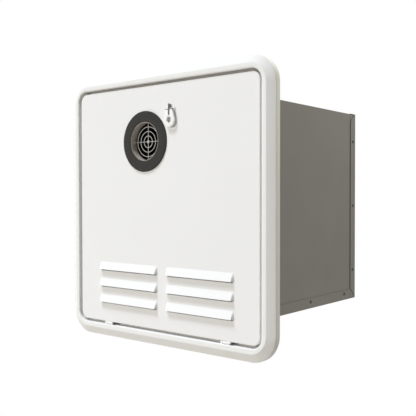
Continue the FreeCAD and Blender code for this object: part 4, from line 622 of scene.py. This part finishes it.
class Shell:
    """Gathers grids of points into one mesh object."""

    def __init__(self, name: str) -> None:
        """Starts an empty shell.

        Args:
            name: The piece's name.
        """
        self.name = name
        self.points: list[np.ndarray] = []
        self.faces: list[np.ndarray] = []

    def add(self, points: np.ndarray, faces: np.ndarray) -> None:
        """Adds a block of mesh.

        Args:
            points: The points, any shape x 3.
            faces: Quads that number these points from 0, any shape x 4.
        """
        start = sum(len(block) for block in self.points)
        self.points.append(points.reshape(-1, 3))
        self.faces.append(faces.reshape(-1, 4) + start)

    def grid(self, points: np.ndarray, close_rows: bool = False, close_columns: bool = False) -> None:
        """Adds a whole grid, rows x columns x 3."""
        self.add(points, quads(*points.shape[:2], close_rows, close_columns))

    def lathe(self, profile: np.ndarray, centre: Point, axis: Point, steps: int,
              scale: np.ndarray | None = None, closed: bool = False) -> None:
        """Adds a turned surface.

        Each profile point goes round as centre + along * axis + radius * (side * cos turn + other * sin
        turn), where side and other are two unit vectors across the axis.

        Args:
            profile: Radius and place along the axis of each point, n x 2.
            centre: The point of the axis where along is 0.
            axis: Unit vector of the axis.
            steps: Points round the axis.
            scale: Factor on the radius, n x steps, for flats and threads.
            closed: Whether the profile's last point joins its first.
        """
        way = Vector(axis)
        side = way.orthogonal().normalized()
        frame = [np.array(v) for v in (side, way.cross(side), way)]
        angle = np.linspace(0, 2 * np.pi, steps, endpoint=False)
        radius = profile[:, :1] * (np.ones((1, steps)) if scale is None else scale)
        grid = np.array(centre) + profile[:, 1, None, None] * frame[2]
        grid = grid + radius[..., None] * (np.cos(angle)[None, :, None] * frame[0]
                                           + np.sin(angle)[None, :, None] * frame[1])
        self.grid(grid, close_rows=closed, close_columns=True)

    def plain(self) -> bpy.types.Object:
        """Makes the bare object, outside every collection.

        Returns:
            The object, its doubled points merged and its faces outwards.
        """
        points, faces = np.concatenate(self.points), np.concatenate(self.faces)
        mesh = bpy.data.meshes.new(self.name)
        mesh.vertices.add(len(points))
        mesh.vertices.foreach_set("co", points.astype(np.float32).ravel())
        mesh.loops.add(faces.size)
        mesh.loops.foreach_set("vertex_index", faces.astype(np.int32).ravel())
        mesh.polygons.add(len(faces))
        mesh.polygons.foreach_set("loop_start", np.arange(0, faces.size, 4, dtype=np.int32))
        mesh.update(calc_edges=True)
        with merged(mesh) as edit:
            bmesh.ops.dissolve_degenerate(edit, edges=edit.edges, dist=MERGE)
            bmesh.ops.recalc_face_normals(edit, faces=edit.faces)
        return bpy.data.objects.new(self.name, mesh)

    def build(self, slot: str, body: str) -> bpy.types.Object:
        """Makes the piece and dresses it."""
        return dress(self.plain(), slot, body)


def show(thing: bpy.types.Object) -> None:
    """Puts an object in the scene."""
    bpy.context.scene.collection.objects.link(thing)


def shade(mesh: bpy.types.Mesh, sharp: float) -> None:
    """Shades faces smooth, with the edges sharp whose angle in degrees is above sharp."""
    mesh.shade_smooth()
    mesh.set_sharp_from_angle(angle=math.radians(sharp))


def dress(piece: bpy.types.Object, slot: str, body: str, sharp: float = SHARP) -> bpy.types.Object:
    """Puts a new piece in the scene: smooth faces, sharp edges, finish and body.

    Args:
        piece: The new object.
        slot: The record's material slot, whose finish the piece takes.
        body: The CAD body that it rides on.
        sharp: Angle in degrees above which an edge is shown sharp.

    Returns:
        The piece.
    """
    show(piece)
    shade(piece.data, sharp)
    piece.data.materials.append(finish_of(slot))
    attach(piece, body)
    return piece


def finish_of(name: str) -> bpy.types.Material:
    """The material of a finish, made when it is first asked for."""
    return bpy.data.materials.get(f"finish_{name}") or FINISHES[name].material(f"finish_{name}")


def settle(piece: bpy.types.Object, sharp: float = SHARP) -> None:
    """Turns a piece's modifiers into its mesh and marks the sharp edges of the result.

    Args:
        piece: The piece.
        sharp: Angle in degrees above which an edge is shown sharp.
    """
    final = piece.evaluated_get(bpy.context.evaluated_depsgraph_get())
    mesh = bpy.data.meshes.new_from_object(final)
    piece.modifiers.clear()
    piece.data = mesh
    shade(mesh, sharp)


def merged_copy(source: bpy.types.Mesh, name: str) -> bpy.types.Object:
    """Copies the loose triangles of a CAD node into a joined mesh with whole flat faces.

    Args:
        source: The node's mesh.
        name: The new object's name.

    Returns:
        The object, outside every collection.
    """
    points = np.empty(len(source.vertices) * 3, np.float32)
    source.vertices.foreach_get("co", points)
    faces = [tuple(face.vertices) for face in source.polygons]
    mesh = bpy.data.meshes.new(name)
    mesh.from_pydata(points.reshape(-1, 3).tolist(), [], faces)
    with merged(mesh) as edit:
        bmesh.ops.dissolve_limit(edit, angle_limit=FLAT, verts=edit.verts, edges=edit.edges)
    return bpy.data.objects.new(name, mesh)


# ---------------------------------------------------------------- access door


@dataclass(frozen=True)
class Hole:
    """A round hole in the door, with half the square patch of mesh that surrounds it."""

    x: float
    z: float
    radius: float
    patch: float

    def covers(self, x: np.ndarray, z: np.ndarray) -> np.ndarray:
        """Whether points lie inside the patch."""
        return (np.abs(x - self.x) < self.patch) & (np.abs(z - self.z) < self.patch)


@dataclass
class AccessDoor:
    """The pressed door: a flat skin with a rounded edge and flange, six hooded louvres and two holes.

    The mesh lines are dense where the skin bends: *_steps says how many lie across a bend, a patch, a hood or
    a slot, and hood_over how far up a hood's lines go, in louvre heights.
    """

    face: float = DOOR_FACE
    back: float = -0.003
    skin: float = 0.002
    edge: float = 0.0012
    louvre_middle: float = 0.0014
    louvre_in: float = 0.0092
    louvre_out: float = 0.1382
    louvre_top: float = -0.0879
    louvre_high: float = 0.0122
    louvre_pitch: float = 0.0261
    louvre_rows: int = 3
    louvre_proud: float = 0.0048
    louvre_lip: float = 0.0006
    louvre_taper: float = 0.0024
    slot_high: float = 0.0020
    slot_inset: float = 0.0024
    blur: float = 0.04
    holes: tuple[Hole, ...] = (Hole(EXHAUST_X, EXHAUST_Z, 0.0342, 0.044), Hole(0.0211, 0.1445, 0.0036, 0.007))
    plain_gap: float = 0.02
    bend_steps: int = 8
    patch_steps: int = 10
    spoke_rows: int = 5
    hood_steps: int = 24
    hood_over: float = 1.1
    slot_steps: int = 2
    lip_slack: float = 1e-4

    def tops(self) -> np.ndarray:
        """Heights of the upper creases of the louvres."""
        return self.louvre_top - self.louvre_pitch * np.arange(self.louvre_rows)

    def lips(self) -> np.ndarray:
        """Heights of the lower lips of the louvres."""
        return self.tops() - self.louvre_high

    def shared_stops(self, centres: list[float]) -> list[tuple[float, float, float]]:
        """Stops for the flat skin, for the holes' patches and for the round corners.

        Args:
            centres: The holes' places in this direction.

        Returns:
            Start, end and greatest gap of each.
        """
        flat, bend = DOOR_HALF - self.edge, DOOR_CORNER - self.edge
        patches = [(centre - hole.patch, centre + hole.patch, hole.patch / self.patch_steps)
                   for centre, hole in zip(centres, self.holes)]
        corners = [(side * flat, side * (flat - bend), bend / self.bend_steps) for side in (-1, 1)]
        return [(-flat, flat, self.plain_gap), *patches, *corners]

    def columns(self) -> np.ndarray:
        """Works out the mesh lines across the door.

        Returns:
            Their places.
        """
        fine = self.louvre_taper / self.bend_steps
        wide, middle = self.louvre_taper + fine, self.louvre_middle
        stops = self.shared_stops([hole.x for hole in self.holes])
        for side in (-1, 1):
            for end, way in ((self.louvre_in, 1), (self.louvre_out, -1)):
                stops.append((middle + side * (end - way * fine), middle + side * (end + way * wide), fine))
                slot_end = middle + side * (end + way * self.slot_inset)
                stops.append((slot_end, slot_end, fine))
        return stations(*stops)

    def rows(self) -> tuple[np.ndarray, np.ndarray]:
        """Works out the mesh lines up the door. A lip has two at one height, where the sheet is cut.

        Returns:
            Their heights, and which of them is the lower one of a cut lip.
        """
        lips, hood = self.lips(), self.louvre_high * self.hood_over
        hoods = [(lip, lip + hood, self.louvre_high / self.hood_steps) for lip in lips]
        slots = [(lip - self.slot_high, lip, self.slot_high / self.slot_steps) for lip in lips]
        plain = stations(*self.shared_stops([hole.z for hole in self.holes]), *hoods, *slots)
        plain = plain[np.abs(plain[:, None] - lips).min(axis=1) > MERGE]
        heights = np.concatenate([plain, lips, lips])
        lower = np.concatenate([np.zeros(len(plain) + len(lips)), np.ones(len(lips))])
        order = np.lexsort((1 - lower, heights))
        return heights[order], lower[order].astype(bool)

    def proud(self, x: np.ndarray, z: np.ndarray, lower: np.ndarray) -> np.ndarray:
        """Works out the louvres' relief.

        Each is a wedge, the product of a ramp out from its upper crease down to its lip and a ramp in from
        each end.

        Args:
            x: Places across the door.
            z: Heights up the door.
            lower: Whether a point is on the lower side of a cut lip.

        Returns:
            Height above the face at each point.
        """
        across = np.abs(x - self.louvre_middle)
        ends = [(across - self.louvre_in) / self.louvre_taper, (self.louvre_out - across) / self.louvre_taper]
        width = soft_ramp(ends[0], self.blur) * soft_ramp(ends[1], self.blur)
        drop = (self.tops()[:, None, None] - z) / self.louvre_high
        open_row = (drop <= 1 + self.lip_slack) & ~((drop > 1 - self.lip_slack) & lower)
        slope = soft_ramp(drop * self.louvre_high / (self.louvre_high - self.louvre_lip), self.blur)
        return self.louvre_proud * width * (slope * open_row).sum(axis=0)

    def in_slot(self, x: np.ndarray, z: np.ndarray) -> np.ndarray:
        """Finds the open slots, inside a louvre's ends and just below its lip.

        Args:
            x: Places across the door.
            z: Heights up the door.

        Returns:
            Whether each point lies in a slot.
        """
        across = np.abs(x - self.louvre_middle)
        inside = (across > self.louvre_in + self.slot_inset) & (across < self.louvre_out - self.slot_inset)
        lips = self.lips()[:, None, None]
        return inside & ((z < lips) & (z > lips - self.slot_high)).any(axis=0)

    def plan(self, x: np.ndarray, z: np.ndarray) -> tuple[np.ndarray, np.ndarray]:
        """Rounds the corners: in each corner square (a, b) moves to (a, b) * max(a, b) / hypot(a, b).

        Args:
            x: Places across the square-cornered door.
            z: Heights up it.

        Returns:
            Both for the round-cornered door.
        """
        bend, start = DOOR_CORNER - self.edge, DOOR_HALF - DOOR_CORNER
        a, b = (np.clip(np.abs(v) - start, 0, None) / bend for v in (x, z))
        shrink = np.where((a > 0) & (b > 0), np.maximum(a, b) / np.maximum(np.hypot(a, b), SLACK), 1.0)
        return tuple(np.where(w > 0, np.sign(v) * (start + w * shrink * bend), v)
                     for v, w in ((x, a), (z, b)))

    def build_skin(self) -> bpy.types.Object:
        """Builds the sheet, then gives it its thickness.

        Returns:
            The piece.
        """
        shell = Shell("door_skin")
        x, (z, lower) = self.columns(), self.rows()
        x_grid, z_grid = np.meshgrid(x, z)
        high = self.proud(x_grid, z_grid, lower[:, None])
        plan_x, plan_z = self.plan(x_grid, z_grid)
        sheet = np.stack([plan_x, self.face - high, plan_z], axis=-1)
        faces = quads(len(z), len(x))
        keep = np.ones(faces.shape[:2], bool)
        keep[lower[:-1] & ~lower[1:]] = False
        middle_x, middle_z = ((g[1:, 1:] + g[:-1, :-1]) / 2 for g in (x_grid, z_grid))
        keep &= ~self.in_slot(middle_x, middle_z)
        for hole in self.holes:
            keep &= ~hole.covers(middle_x, middle_z)
            self.add_hole(shell, hole, x, z)
        shell.add(sheet, faces[keep])
        rim = np.concatenate([sheet[0, :-1], sheet[:-1, -1], sheet[-1, :0:-1], sheet[:0:-1, 0]])
        self.add_edge(shell, rim)
        piece = shell.build("door_white", "door")
        if np.mean([face.normal.y * face.area for face in piece.data.polygons]) > 0:
            piece.data.flip_normals()  # an open sheet has no outside of its own: it faces away from the wall
        wall = piece.modifiers.new("wall", "SOLIDIFY")
        wall.thickness = self.skin
        wall.offset = -1.0
        settle(piece)
        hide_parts("door_panel")
        return piece

    def add_hole(self, shell: Shell, hole: Hole, x: np.ndarray, z: np.ndarray) -> None:
        """Adds straight spokes from the square edge of a hole's patch to the circle.

        Args:
            shell: The door's shell.
            hole: The hole.
            x: The mesh lines across the door.
            z: The mesh lines up the door.
        """
        across = x[np.abs(x - hole.x) <= hole.patch + MERGE] - hole.x
        up = np.unique(z[np.abs(z - hole.z) <= hole.patch + MERGE]) - hole.z
        low, high = np.full_like(across, up[0]), np.full_like(across, up[-1])
        left, right = np.full_like(up, across[0]), np.full_like(up, across[-1])
        sides = [np.stack(pair, axis=-1)[:-1] for pair in (
            (across, low), (right, up), (across[::-1], high), (left, up[::-1]))]
        square = np.concatenate(sides)
        circle = square * (hole.radius / np.linalg.norm(square, axis=1, keepdims=True))
        t = np.linspace(0, 1, self.spoke_rows)[:, None, None]
        spot = square * (1 - t) + circle * t
        depth = np.full(spot.shape[:2], self.face)
        grid = np.stack([hole.x + spot[..., 0], depth, hole.z + spot[..., 1]], axis=-1)
        shell.grid(grid, close_columns=True)

    def add_edge(self, shell: Shell, rim: np.ndarray) -> None:
        """Adds the rounded edge, a quarter circle swept round the rim, and the flange behind it.

        Args:
            shell: The door's shell.
            rim: The sheet's outermost points, once round.
        """
        start = DOOR_HALF - DOOR_CORNER
        inner = np.clip(rim[:, [0, 2]], -start, start)
        way = rim[:, [0, 2]] - inner
        way /= np.linalg.norm(way, axis=1, keepdims=True)
        turn = np.linspace(0, np.pi / 2, self.bend_steps)
        out = np.append(np.sin(turn), 1.0)[:, None, None] * self.edge * way
        depth = np.append(self.face + self.edge * (1 - np.cos(turn)), self.back)
        spot = rim[:, [0, 2]] + out
        depth = np.broadcast_to(depth[:, None], spot.shape[:2])
        shell.grid(np.stack([spot[..., 0], depth, spot[..., 1]], axis=-1), close_columns=True)


# ---------------------------------------------------------------- exhaust port


@dataclass
class ExhaustPort:
    """The dark bezel on the door and the round grille inside the exhaust tube."""

    outer: float = 0.046
    bore: float = 0.0302
    spigot: float = 0.034
    front: float = DOOR_FACE - 0.002
    seat: float = DOOR_FACE
    spigot_back: float = -0.0086
    bezel_edges: tuple[float, ...] = (0.0002, 0.0008, 0.0009, 0.0002, 0.0001, 0.0003)
    bezel_edge_steps: int = 6
    bezel_steps: int = 160
    rings: tuple[float, ...] = (0.0089, 0.0158, 0.0227)
    ring_steps: int = 128
    wire: float = 0.0012
    wire_edge_steps: int = 4
    reach: float = 0.0285
    bar_steps: int = 16
    grille_y: float = -0.0055
    boss: float = 0.0026
    boss_steps: int = 48
    arc_steps: int = 8

    def build_bezel(self) -> bpy.types.Object:
        """Builds a flat ring with a rounded outer edge and a spigot through the door.

        Returns:
            The piece.
        """
        corners = [(self.bore, self.spigot_back), (self.bore, self.front), (self.outer, self.front),
                   (self.outer, self.seat), (self.spigot, self.seat), (self.spigot, self.spigot_back)]
        profile = rounded(corners, self.bezel_edges, self.bezel_edge_steps)
        shell = Shell("bezel_ring")
        shell.lathe(profile, (EXHAUST_X, 0, EXHAUST_Z), INWARD, self.bezel_steps, closed=True)
        piece = shell.build("bezel_dark", "door")
        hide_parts("exhaust_bezel")
        return piece

    def build_grille(self) -> bpy.types.Object:
        """Builds concentric rings of rounded flat wire with a cross of round bars and a domed boss.

        Returns:
            The piece.
        """
        shell = Shell("grille_rings")
        half, centre = self.wire / 2, (EXHAUST_X, self.grille_y, EXHAUST_Z)
        for radius in self.rings:
            corners = [(radius - half, -half), (radius - half, half), (radius + half, half),
                       (radius + half, -half)]
            profile = rounded(corners, [half / 2] * len(corners), self.wire_edge_steps)
            shell.lathe(profile, centre, INWARD, self.ring_steps, closed=True)
        bar = np.array([(0, -self.reach), (half, -self.reach), (half, self.reach), (0, self.reach)])
        for way in (ACROSS, UP):
            shell.lathe(bar, centre, way, self.bar_steps)
        turn = np.linspace(0, np.pi / 2, self.arc_steps)
        dome = np.stack([self.boss * np.sin(turn), -half * (1 + np.cos(turn))], axis=-1)
        dome = np.concatenate([dome, [(self.boss, half), (0, half)]])
        shell.lathe(dome, centre, INWARD, self.boss_steps)
        piece = shell.build("stainless", "casing")
        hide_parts("exhaust_grille")
        return piece


# ---------------------------------------------------------------- casing and connections


@dataclass
class Casing:
    """The rivets of the sheet steel casing. dome_share, pit and pit_deep are shares of the head's size."""

    half: float = 0.1555
    top: float = 0.1578
    head: float = 0.0025
    high: float = 0.001
    dome_share: float = 0.62
    pit: float = 0.34
    pit_deep: float = 0.4
    shank: float = 0.0016
    tail: float = 0.0026
    rear_y: float = BACK - 0.0078
    rear_z: tuple[float, ...] = (0.1105, 0.001, -0.1085)
    pan_y: tuple[float, ...] = (0.0535, 0.159, 0.2645)
    pan_z: float = -0.1476
    roof_x: tuple[float, ...] = (-0.1, 0.0, 0.1)
    arc_steps: int = 7
    steps: int = 28

    def build_rivets(self) -> bpy.types.Object:
        """Builds blind rivets: a domed head with the pit that the drawn nail leaves.

        The dome is an ellipse's quarter: its height goes as the root of 1 - (1 - t)^2.

        Returns:
            All the rivets as one piece.
        """
        turn = np.linspace(0, 1, self.arc_steps)
        rise = self.high * np.sqrt(1 - (1 - turn) ** 2)
        dome = np.stack([self.head * (1 - turn * self.dome_share), rise], axis=-1)
        pit = [(self.head * self.pit, self.high * self.pit_deep), (0, self.high * self.pit_deep)]
        foot = [(0, -self.tail), (self.shank, -self.tail), (self.shank, 0)]
        profile = np.concatenate([foot, dome, pit])
        spots = [(self.rear_y, z) for z in self.rear_z] + [(y, self.pan_z) for y in self.pan_y]
        places = [((side * self.half, y, z), (side, 0, 0)) for side in (1, -1) for y, z in spots]
        places += [((x, self.rear_y, self.top), UP) for x in self.roof_x]
        shell = Shell("blind_rivets")
        for spot, way in places:
            shell.lathe(profile, spot, way, self.steps)
        piece = shell.build("rivet_dark", "casing")
        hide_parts("casing_rivets")
        return piece


@dataclass(frozen=True)
class Connection:
    """A threaded pipe connection through the back panel: stub and hexagon inside, hexagon and thread outside.

    chamfer, thread_deep, point and point_from are shares: of the hexagon's radius, of the thread's pitch, of
    its radius and of its length. chamfer_steep and fade_steep are rises over the whole length.
    """

    x: float
    z: float
    thread: float
    collar: float
    bore: float
    stub: float
    pitch: float
    stub_long: float = 0.02
    stub_edge: float = 0.0006
    stub_edge_steps: int = 4
    collar_long: float = 0.006
    chamfer: float = 0.14
    chamfer_steep: float = 7.0
    chamfer_steps: int = 13
    hexagon_steps: int = 96
    thread_long: float = 0.016
    thread_deep: float = 0.55
    fade_steep: float = 12.0
    point: float = 0.08
    point_from: float = 0.93
    rings_per_turn: int = 10
    thread_steps: int = 72
    pipe_steps: int = 64
    back: float = BACK
    sheet: float = 0.0008

    def hexagon(self, shell: Shell, start: float) -> None:
        """Adds a nut.

        Its radius is the smaller of the hexagon's, cos 30 / cos(angle from the middle of a flat), and that of
        a chamfer cone at each end.

        Args:
            shell: The piece's shell.
            start: Depth of the nut's front.
        """
        angle = np.linspace(0, 2 * np.pi, self.hexagon_steps, endpoint=False)
        side = math.cos(math.pi / 6) / np.cos(np.mod(angle, np.pi / 3) - np.pi / 6)
        t = np.linspace(0, 1, self.chamfer_steps)
        cone = 1 - self.chamfer * np.clip(1 - np.minimum(t, 1 - t) * self.chamfer_steep, 0, 1)
        radius = np.minimum(side[None, :], cone[:, None])
        self.turned(shell, self.collar, t * self.collar_long + start, radius)

    def threads(self, shell: Shell, start: float) -> None:
        """Adds a screw thread, whose radius dips by a triangle wave of (place / pitch - turn).

        The dips grow from nothing at the root, and the far end is chamfered to a point.

        Args:
            shell: The piece's shell.
            start: Depth of the thread's root.
        """
        turn = np.linspace(0, 1, self.thread_steps, endpoint=False)[None, :]
        t = np.linspace(0, 1, int(self.thread_long / self.pitch * self.rings_per_turn))[:, None]
        wave = np.abs(np.mod(t * self.thread_long / self.pitch - turn, 1) * 2 - 1)
        fade = np.minimum(t * self.fade_steep, 1)
        point = self.point * np.clip((t - self.point_from) / (1 - self.point_from), 0, 1)
        radius = 1 - self.thread_deep * self.pitch / self.thread * wave * fade - point
        self.turned(shell, self.thread, t[:, 0] * self.thread_long + start, radius)

    def turned(self, shell: Shell, outer: float, along: np.ndarray, radius: np.ndarray) -> None:
        """Adds a bored length of the connection.

        Args:
            shell: The piece's shell.
            outer: Its full radius.
            along: Depths of its rings of points.
            radius: Factors on the full radius, rings x points.
        """
        steps = radius.shape[1]
        bore = np.full((1, steps), self.bore / outer)
        depth = np.concatenate([along[:1], along, along[-1:]])
        profile = np.stack([np.full(len(depth), outer), depth], axis=-1)
        scale = np.concatenate([bore, radius, bore])
        shell.lathe(profile, (self.x, 0, self.z), INWARD, steps, scale, closed=True)

    def add(self, shell: Shell) -> None:
        """Adds the whole connection.

        Args:
            shell: The piece's shell.
        """
        inside, axis = self.back - self.sheet, (self.x, 0, self.z)
        bore_end = self.back - self.stub_long / 2
        corners = [(0, inside - self.stub_long), (self.stub, inside - self.stub_long), (self.stub, inside),
                   (self.bore, inside), (self.bore, bore_end), (0, bore_end)]
        profile = rounded(corners, [0, self.stub_edge, 0, 0, 0, 0], self.stub_edge_steps)
        shell.lathe(profile, axis, INWARD, self.pipe_steps)
        neck = [(self.bore, inside - MERGE), (self.thread, inside - MERGE), (self.thread, self.back),
                (self.bore, self.back)]
        shell.lathe(np.array(neck), axis, INWARD, self.pipe_steps, closed=True)
        self.hexagon(shell, inside - self.collar_long)
        self.hexagon(shell, self.back)
        self.threads(shell, self.back + self.collar_long)


@dataclass
class Connections:
    """The water and gas connections at the back."""

    water: tuple[Connection, ...] = tuple(
        Connection(-0.14, z, thread=0.0104, collar=0.0124, bore=0.0065, stub=0.008, pitch=0.0018)
        for z in (-0.12, -0.06))
    gas: Connection = Connection(
        0.091, -0.072, thread=0.00794, collar=0.012, bore=0.004, stub=0.006, pitch=0.0014)

    def build(self) -> list[bpy.types.Object]:
        """Builds the two water connections as one piece and the gas connection as another.

        Returns:
            The pieces.
        """
        pieces = []
        for name, node, group in (("water_connections", "water_fittings", self.water),
                                  ("gas_connection", "gas_inlet_fitting", (self.gas,))):
            shell = Shell(name)
            for connection in group:
                connection.add(shell)
            piece = shell.build("brass", "casing")
            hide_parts(node)
            pieces.append(piece)
        return pieces


# ---------------------------------------------------------------- pieces kept from the frame


@dataclass(frozen=True)
class Rounding:
    """The width of a piece's rounded edges, and the angle in degrees above which an edge is rounded."""

    width: float
    sharp: float = SHARP


@dataclass
class Softening:
    """The machined and moulded pieces whose edges are rounded."""

    roundings: dict[str, Rounding] = field(default_factory=lambda: {
        "latch_pull": Rounding(0.0009, 75.0),
        "latch_collar": Rounding(0.00025),
        "latch_spindle": Rounding(0.0003),
        "trim_frame": Rounding(0.0006),
    })
    segments: int = 4

    def build(self, frame: dict) -> list[bpy.types.Object]:
        """Puts a copy with rounded edges in the place of each of the CAD nodes.


        Returns:
            The copies.
        """
        record, pieces = frame["record"], []
        slots = {part["node"]: part["material_slot"] for part in record["subparts"]}
        bodies = {node: body for body, nodes in record["behaviour"]["bodies"].items() for node in nodes}
        for node, rounding in self.roundings.items():
            piece = merged_copy(frame["nodes"][node].data, f"{node}_soft")
            bevel = piece.modifiers.new("rounding", "BEVEL")
            bevel.width, bevel.segments = rounding.width, self.segments
            bevel.limit_method, bevel.angle_limit = "ANGLE", math.radians(rounding.sharp)
            dress(piece, slots[node], bodies[node], rounding.sharp)
            settle(piece, rounding.sharp)
            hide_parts(node)
            pieces.append(piece)
        return pieces


def dress_nodes(frame: dict) -> None:
    """Gives every CAD node that is shown its finish.
    """
    for name, node in frame["nodes"].items():
        for slot in node.material_slots:
            slot.material = finish_of(HEATED.get(name, slot.material.name.split(".")[0]))


# ---------------------------------------------------------------- studio


@dataclass(frozen=True)
class Lamp:
    """A square lamp aimed at the heater.

    Its level is the brightness that it alone gives a white surface that faces it at the origin. A level of 1
    is white, and takes a power of pi^2 times the distance squared.
    """

    name: str
    spot: Point
    size: float
    level: float
    colour: Colour

    def build(self) -> None:
        """Adds the lamp, unseen by the camera and in reflections."""
        data = bpy.data.lights.new(self.name, "AREA")
        data.shape, data.size = "SQUARE", self.size
        data.energy = self.level * math.pi ** 2 * Vector(self.spot).length_squared
        data.color = self.colour
        lamp = bpy.data.objects.new(self.name, data)
        lamp.location = self.spot
        lamp.rotation_euler = (-Vector(self.spot)).to_track_quat("-Z", "Y").to_euler()
        lamp.visible_camera = lamp.visible_glossy = False
        show(lamp)


@dataclass
class Studio:
    """Camera, lamps, floor and the white room."""

    azimuth: float = math.radians(37.18)
    elevation: float = math.radians(1.14)
    camera_at: Point = (0.70428, -0.71578, 0.01623)
    lens: float = 57.25
    shift: Span = (-0.1063, 0.0048)
    sensor: float = 36.0
    room_light: float = 0.24
    room_colour: Colour = (1.0, 0.92, 0.76)
    floor_at: Point = (0, 0.1, -1.0)
    floor_radius: float = 2.2
    floor_fade: Span = (0.45, 0.95)
    floor_glow: float = 0.3
    floor_rings: int = 9
    floor_steps: int = 64
    floor_colour: Colour = (0.74, 0.71, 0.66)
    lamps: tuple[Lamp, ...] = (
        Lamp("key_lamp", (-2.1, -2.9, 7.1), 1.9, 0.91, (0.825, 0.885, 1.0)),
        Lamp("fill_lamp", (-3.7, -5.6, 0.8), 2.9, 0.50, (1.0, 0.985, 0.955)),
        Lamp("side_lamp", (0.50, 0.42, 0.66), 0.3, 0.41, (0.98, 1.0, 0.87)),
    )

    def build_camera(self) -> None:
        """Adds the camera, without roll. Its back points to (sin az cos el, -cos az cos el, sin el)."""
        data = bpy.data.cameras.new("camera")
        data.lens, data.sensor_width = self.lens, self.sensor
        data.shift_x, data.shift_y = self.shift
        camera = bpy.data.objects.new("camera", data)
        back = Vector((math.sin(self.azimuth) * math.cos(self.elevation),
                       -math.cos(self.azimuth) * math.cos(self.elevation), math.sin(self.elevation)))
        camera.location = self.camera_at
        camera.rotation_euler = (-back).to_track_quat("-Z", "Y").to_euler()
        show(camera)
        bpy.context.scene.camera = camera

    def build_room(self) -> None:
        """Adds a surround that is white to the camera and in reflections, and dimmer as a source of light."""
        graph = Graph(bpy.data.worlds.new("room"))
        path = graph.node("ShaderNodeLightPath", {}, {})
        ways = [Value(graph, path.outputs[f"Is {way} Ray"]) for way in ("Camera", "Glossy", "Transmission")]
        seen = (ways[0] + ways[1] + ways[2]).step(0.0, 1.0)
        strength = seen * (1.0 - self.room_light) + self.room_light
        colour = graph.blend(seen, self.room_colour, (1.0, 1.0, 1.0))
        shade = graph.node("ShaderNodeBackground", {}, {"Color": colour, "Strength": strength})
        bpy.context.scene.world = graph.output(shade.outputs[0])

    def floor_paint(self) -> bpy.types.Material:
        """Paints the floor: pale, a little brighter to the camera, and clear towards its edge.

        Returns:
            The material.
        """
        graph = Graph(bpy.data.materials.new("floor_paint"))
        ends = {0: graph.place(), 1: self.floor_at}
        offset = graph.node("ShaderNodeVectorMath", {"operation": "SUBTRACT"}, ends)
        far = graph.number("ShaderNodeVectorMath", {"operation": "LENGTH"}, {0: offset.outputs[0]}, "Value")
        diffuse = graph.node("ShaderNodeBsdfDiffuse", {}, {"Color": (*self.floor_colour, 1)})
        path = graph.node("ShaderNodeLightPath", {}, {})
        glow = Value(graph, path.outputs["Is Camera Ray"]) * self.floor_glow
        lift = graph.node("ShaderNodeEmission", {}, {"Color": (1, 1, 1, 1), "Strength": glow})
        both = graph.node("ShaderNodeAddShader", {}, {0: diffuse.outputs[0], 1: lift.outputs[0]})
        clear = graph.node("ShaderNodeBsdfTransparent", {}, {})
        fade = far.step(*(self.floor_radius * edge for edge in self.floor_fade))
        mix = graph.node("ShaderNodeMixShader", {}, {0: fade, 1: both.outputs[0], 2: clear.outputs[0]})
        return graph.output(mix.outputs[0])

    def build_floor(self) -> None:
        """Adds a pale disc that fades out at its edge and still takes the heater's shadow."""
        shell = Shell("floor")
        radius = np.linspace(0, self.floor_radius, self.floor_rings)
        profile = np.stack([radius, np.zeros(self.floor_rings)], axis=-1)
        shell.lathe(profile, self.floor_at, UP, self.floor_steps)
        floor = shell.plain()
        floor.data.materials.append(self.floor_paint())
        show(floor)

    def build(self) -> None:
        """Sets the view, the room, the floor and the lamps."""
        bpy.context.scene.view_settings.view_transform = "Standard"
        self.build_camera()
        self.build_room()
        self.build_floor()
        for lamp in self.lamps:
            lamp.build()


def main() -> None:
    """Dresses the frame, builds and reports the new pieces, and sets up the studio."""
    logging.basicConfig(level=logging.INFO, format="%(message)s")
    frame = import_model()
    dress_nodes(frame)
    port = ExhaustPort()
    pieces = [AccessDoor().build_skin(), port.build_bezel(), port.build_grille(), Casing().build_rivets(),
              *Connections().build(), *Softening().build(frame)]
    for piece in pieces:
        triangles = sum(len(face.vertices) - 2 for face in piece.data.polygons)
        LOG.info("%s: %d triangles in %s", piece.name, triangles, piece.active_material.name)
    Studio().build()


if __name__ == "__main__":
    main()
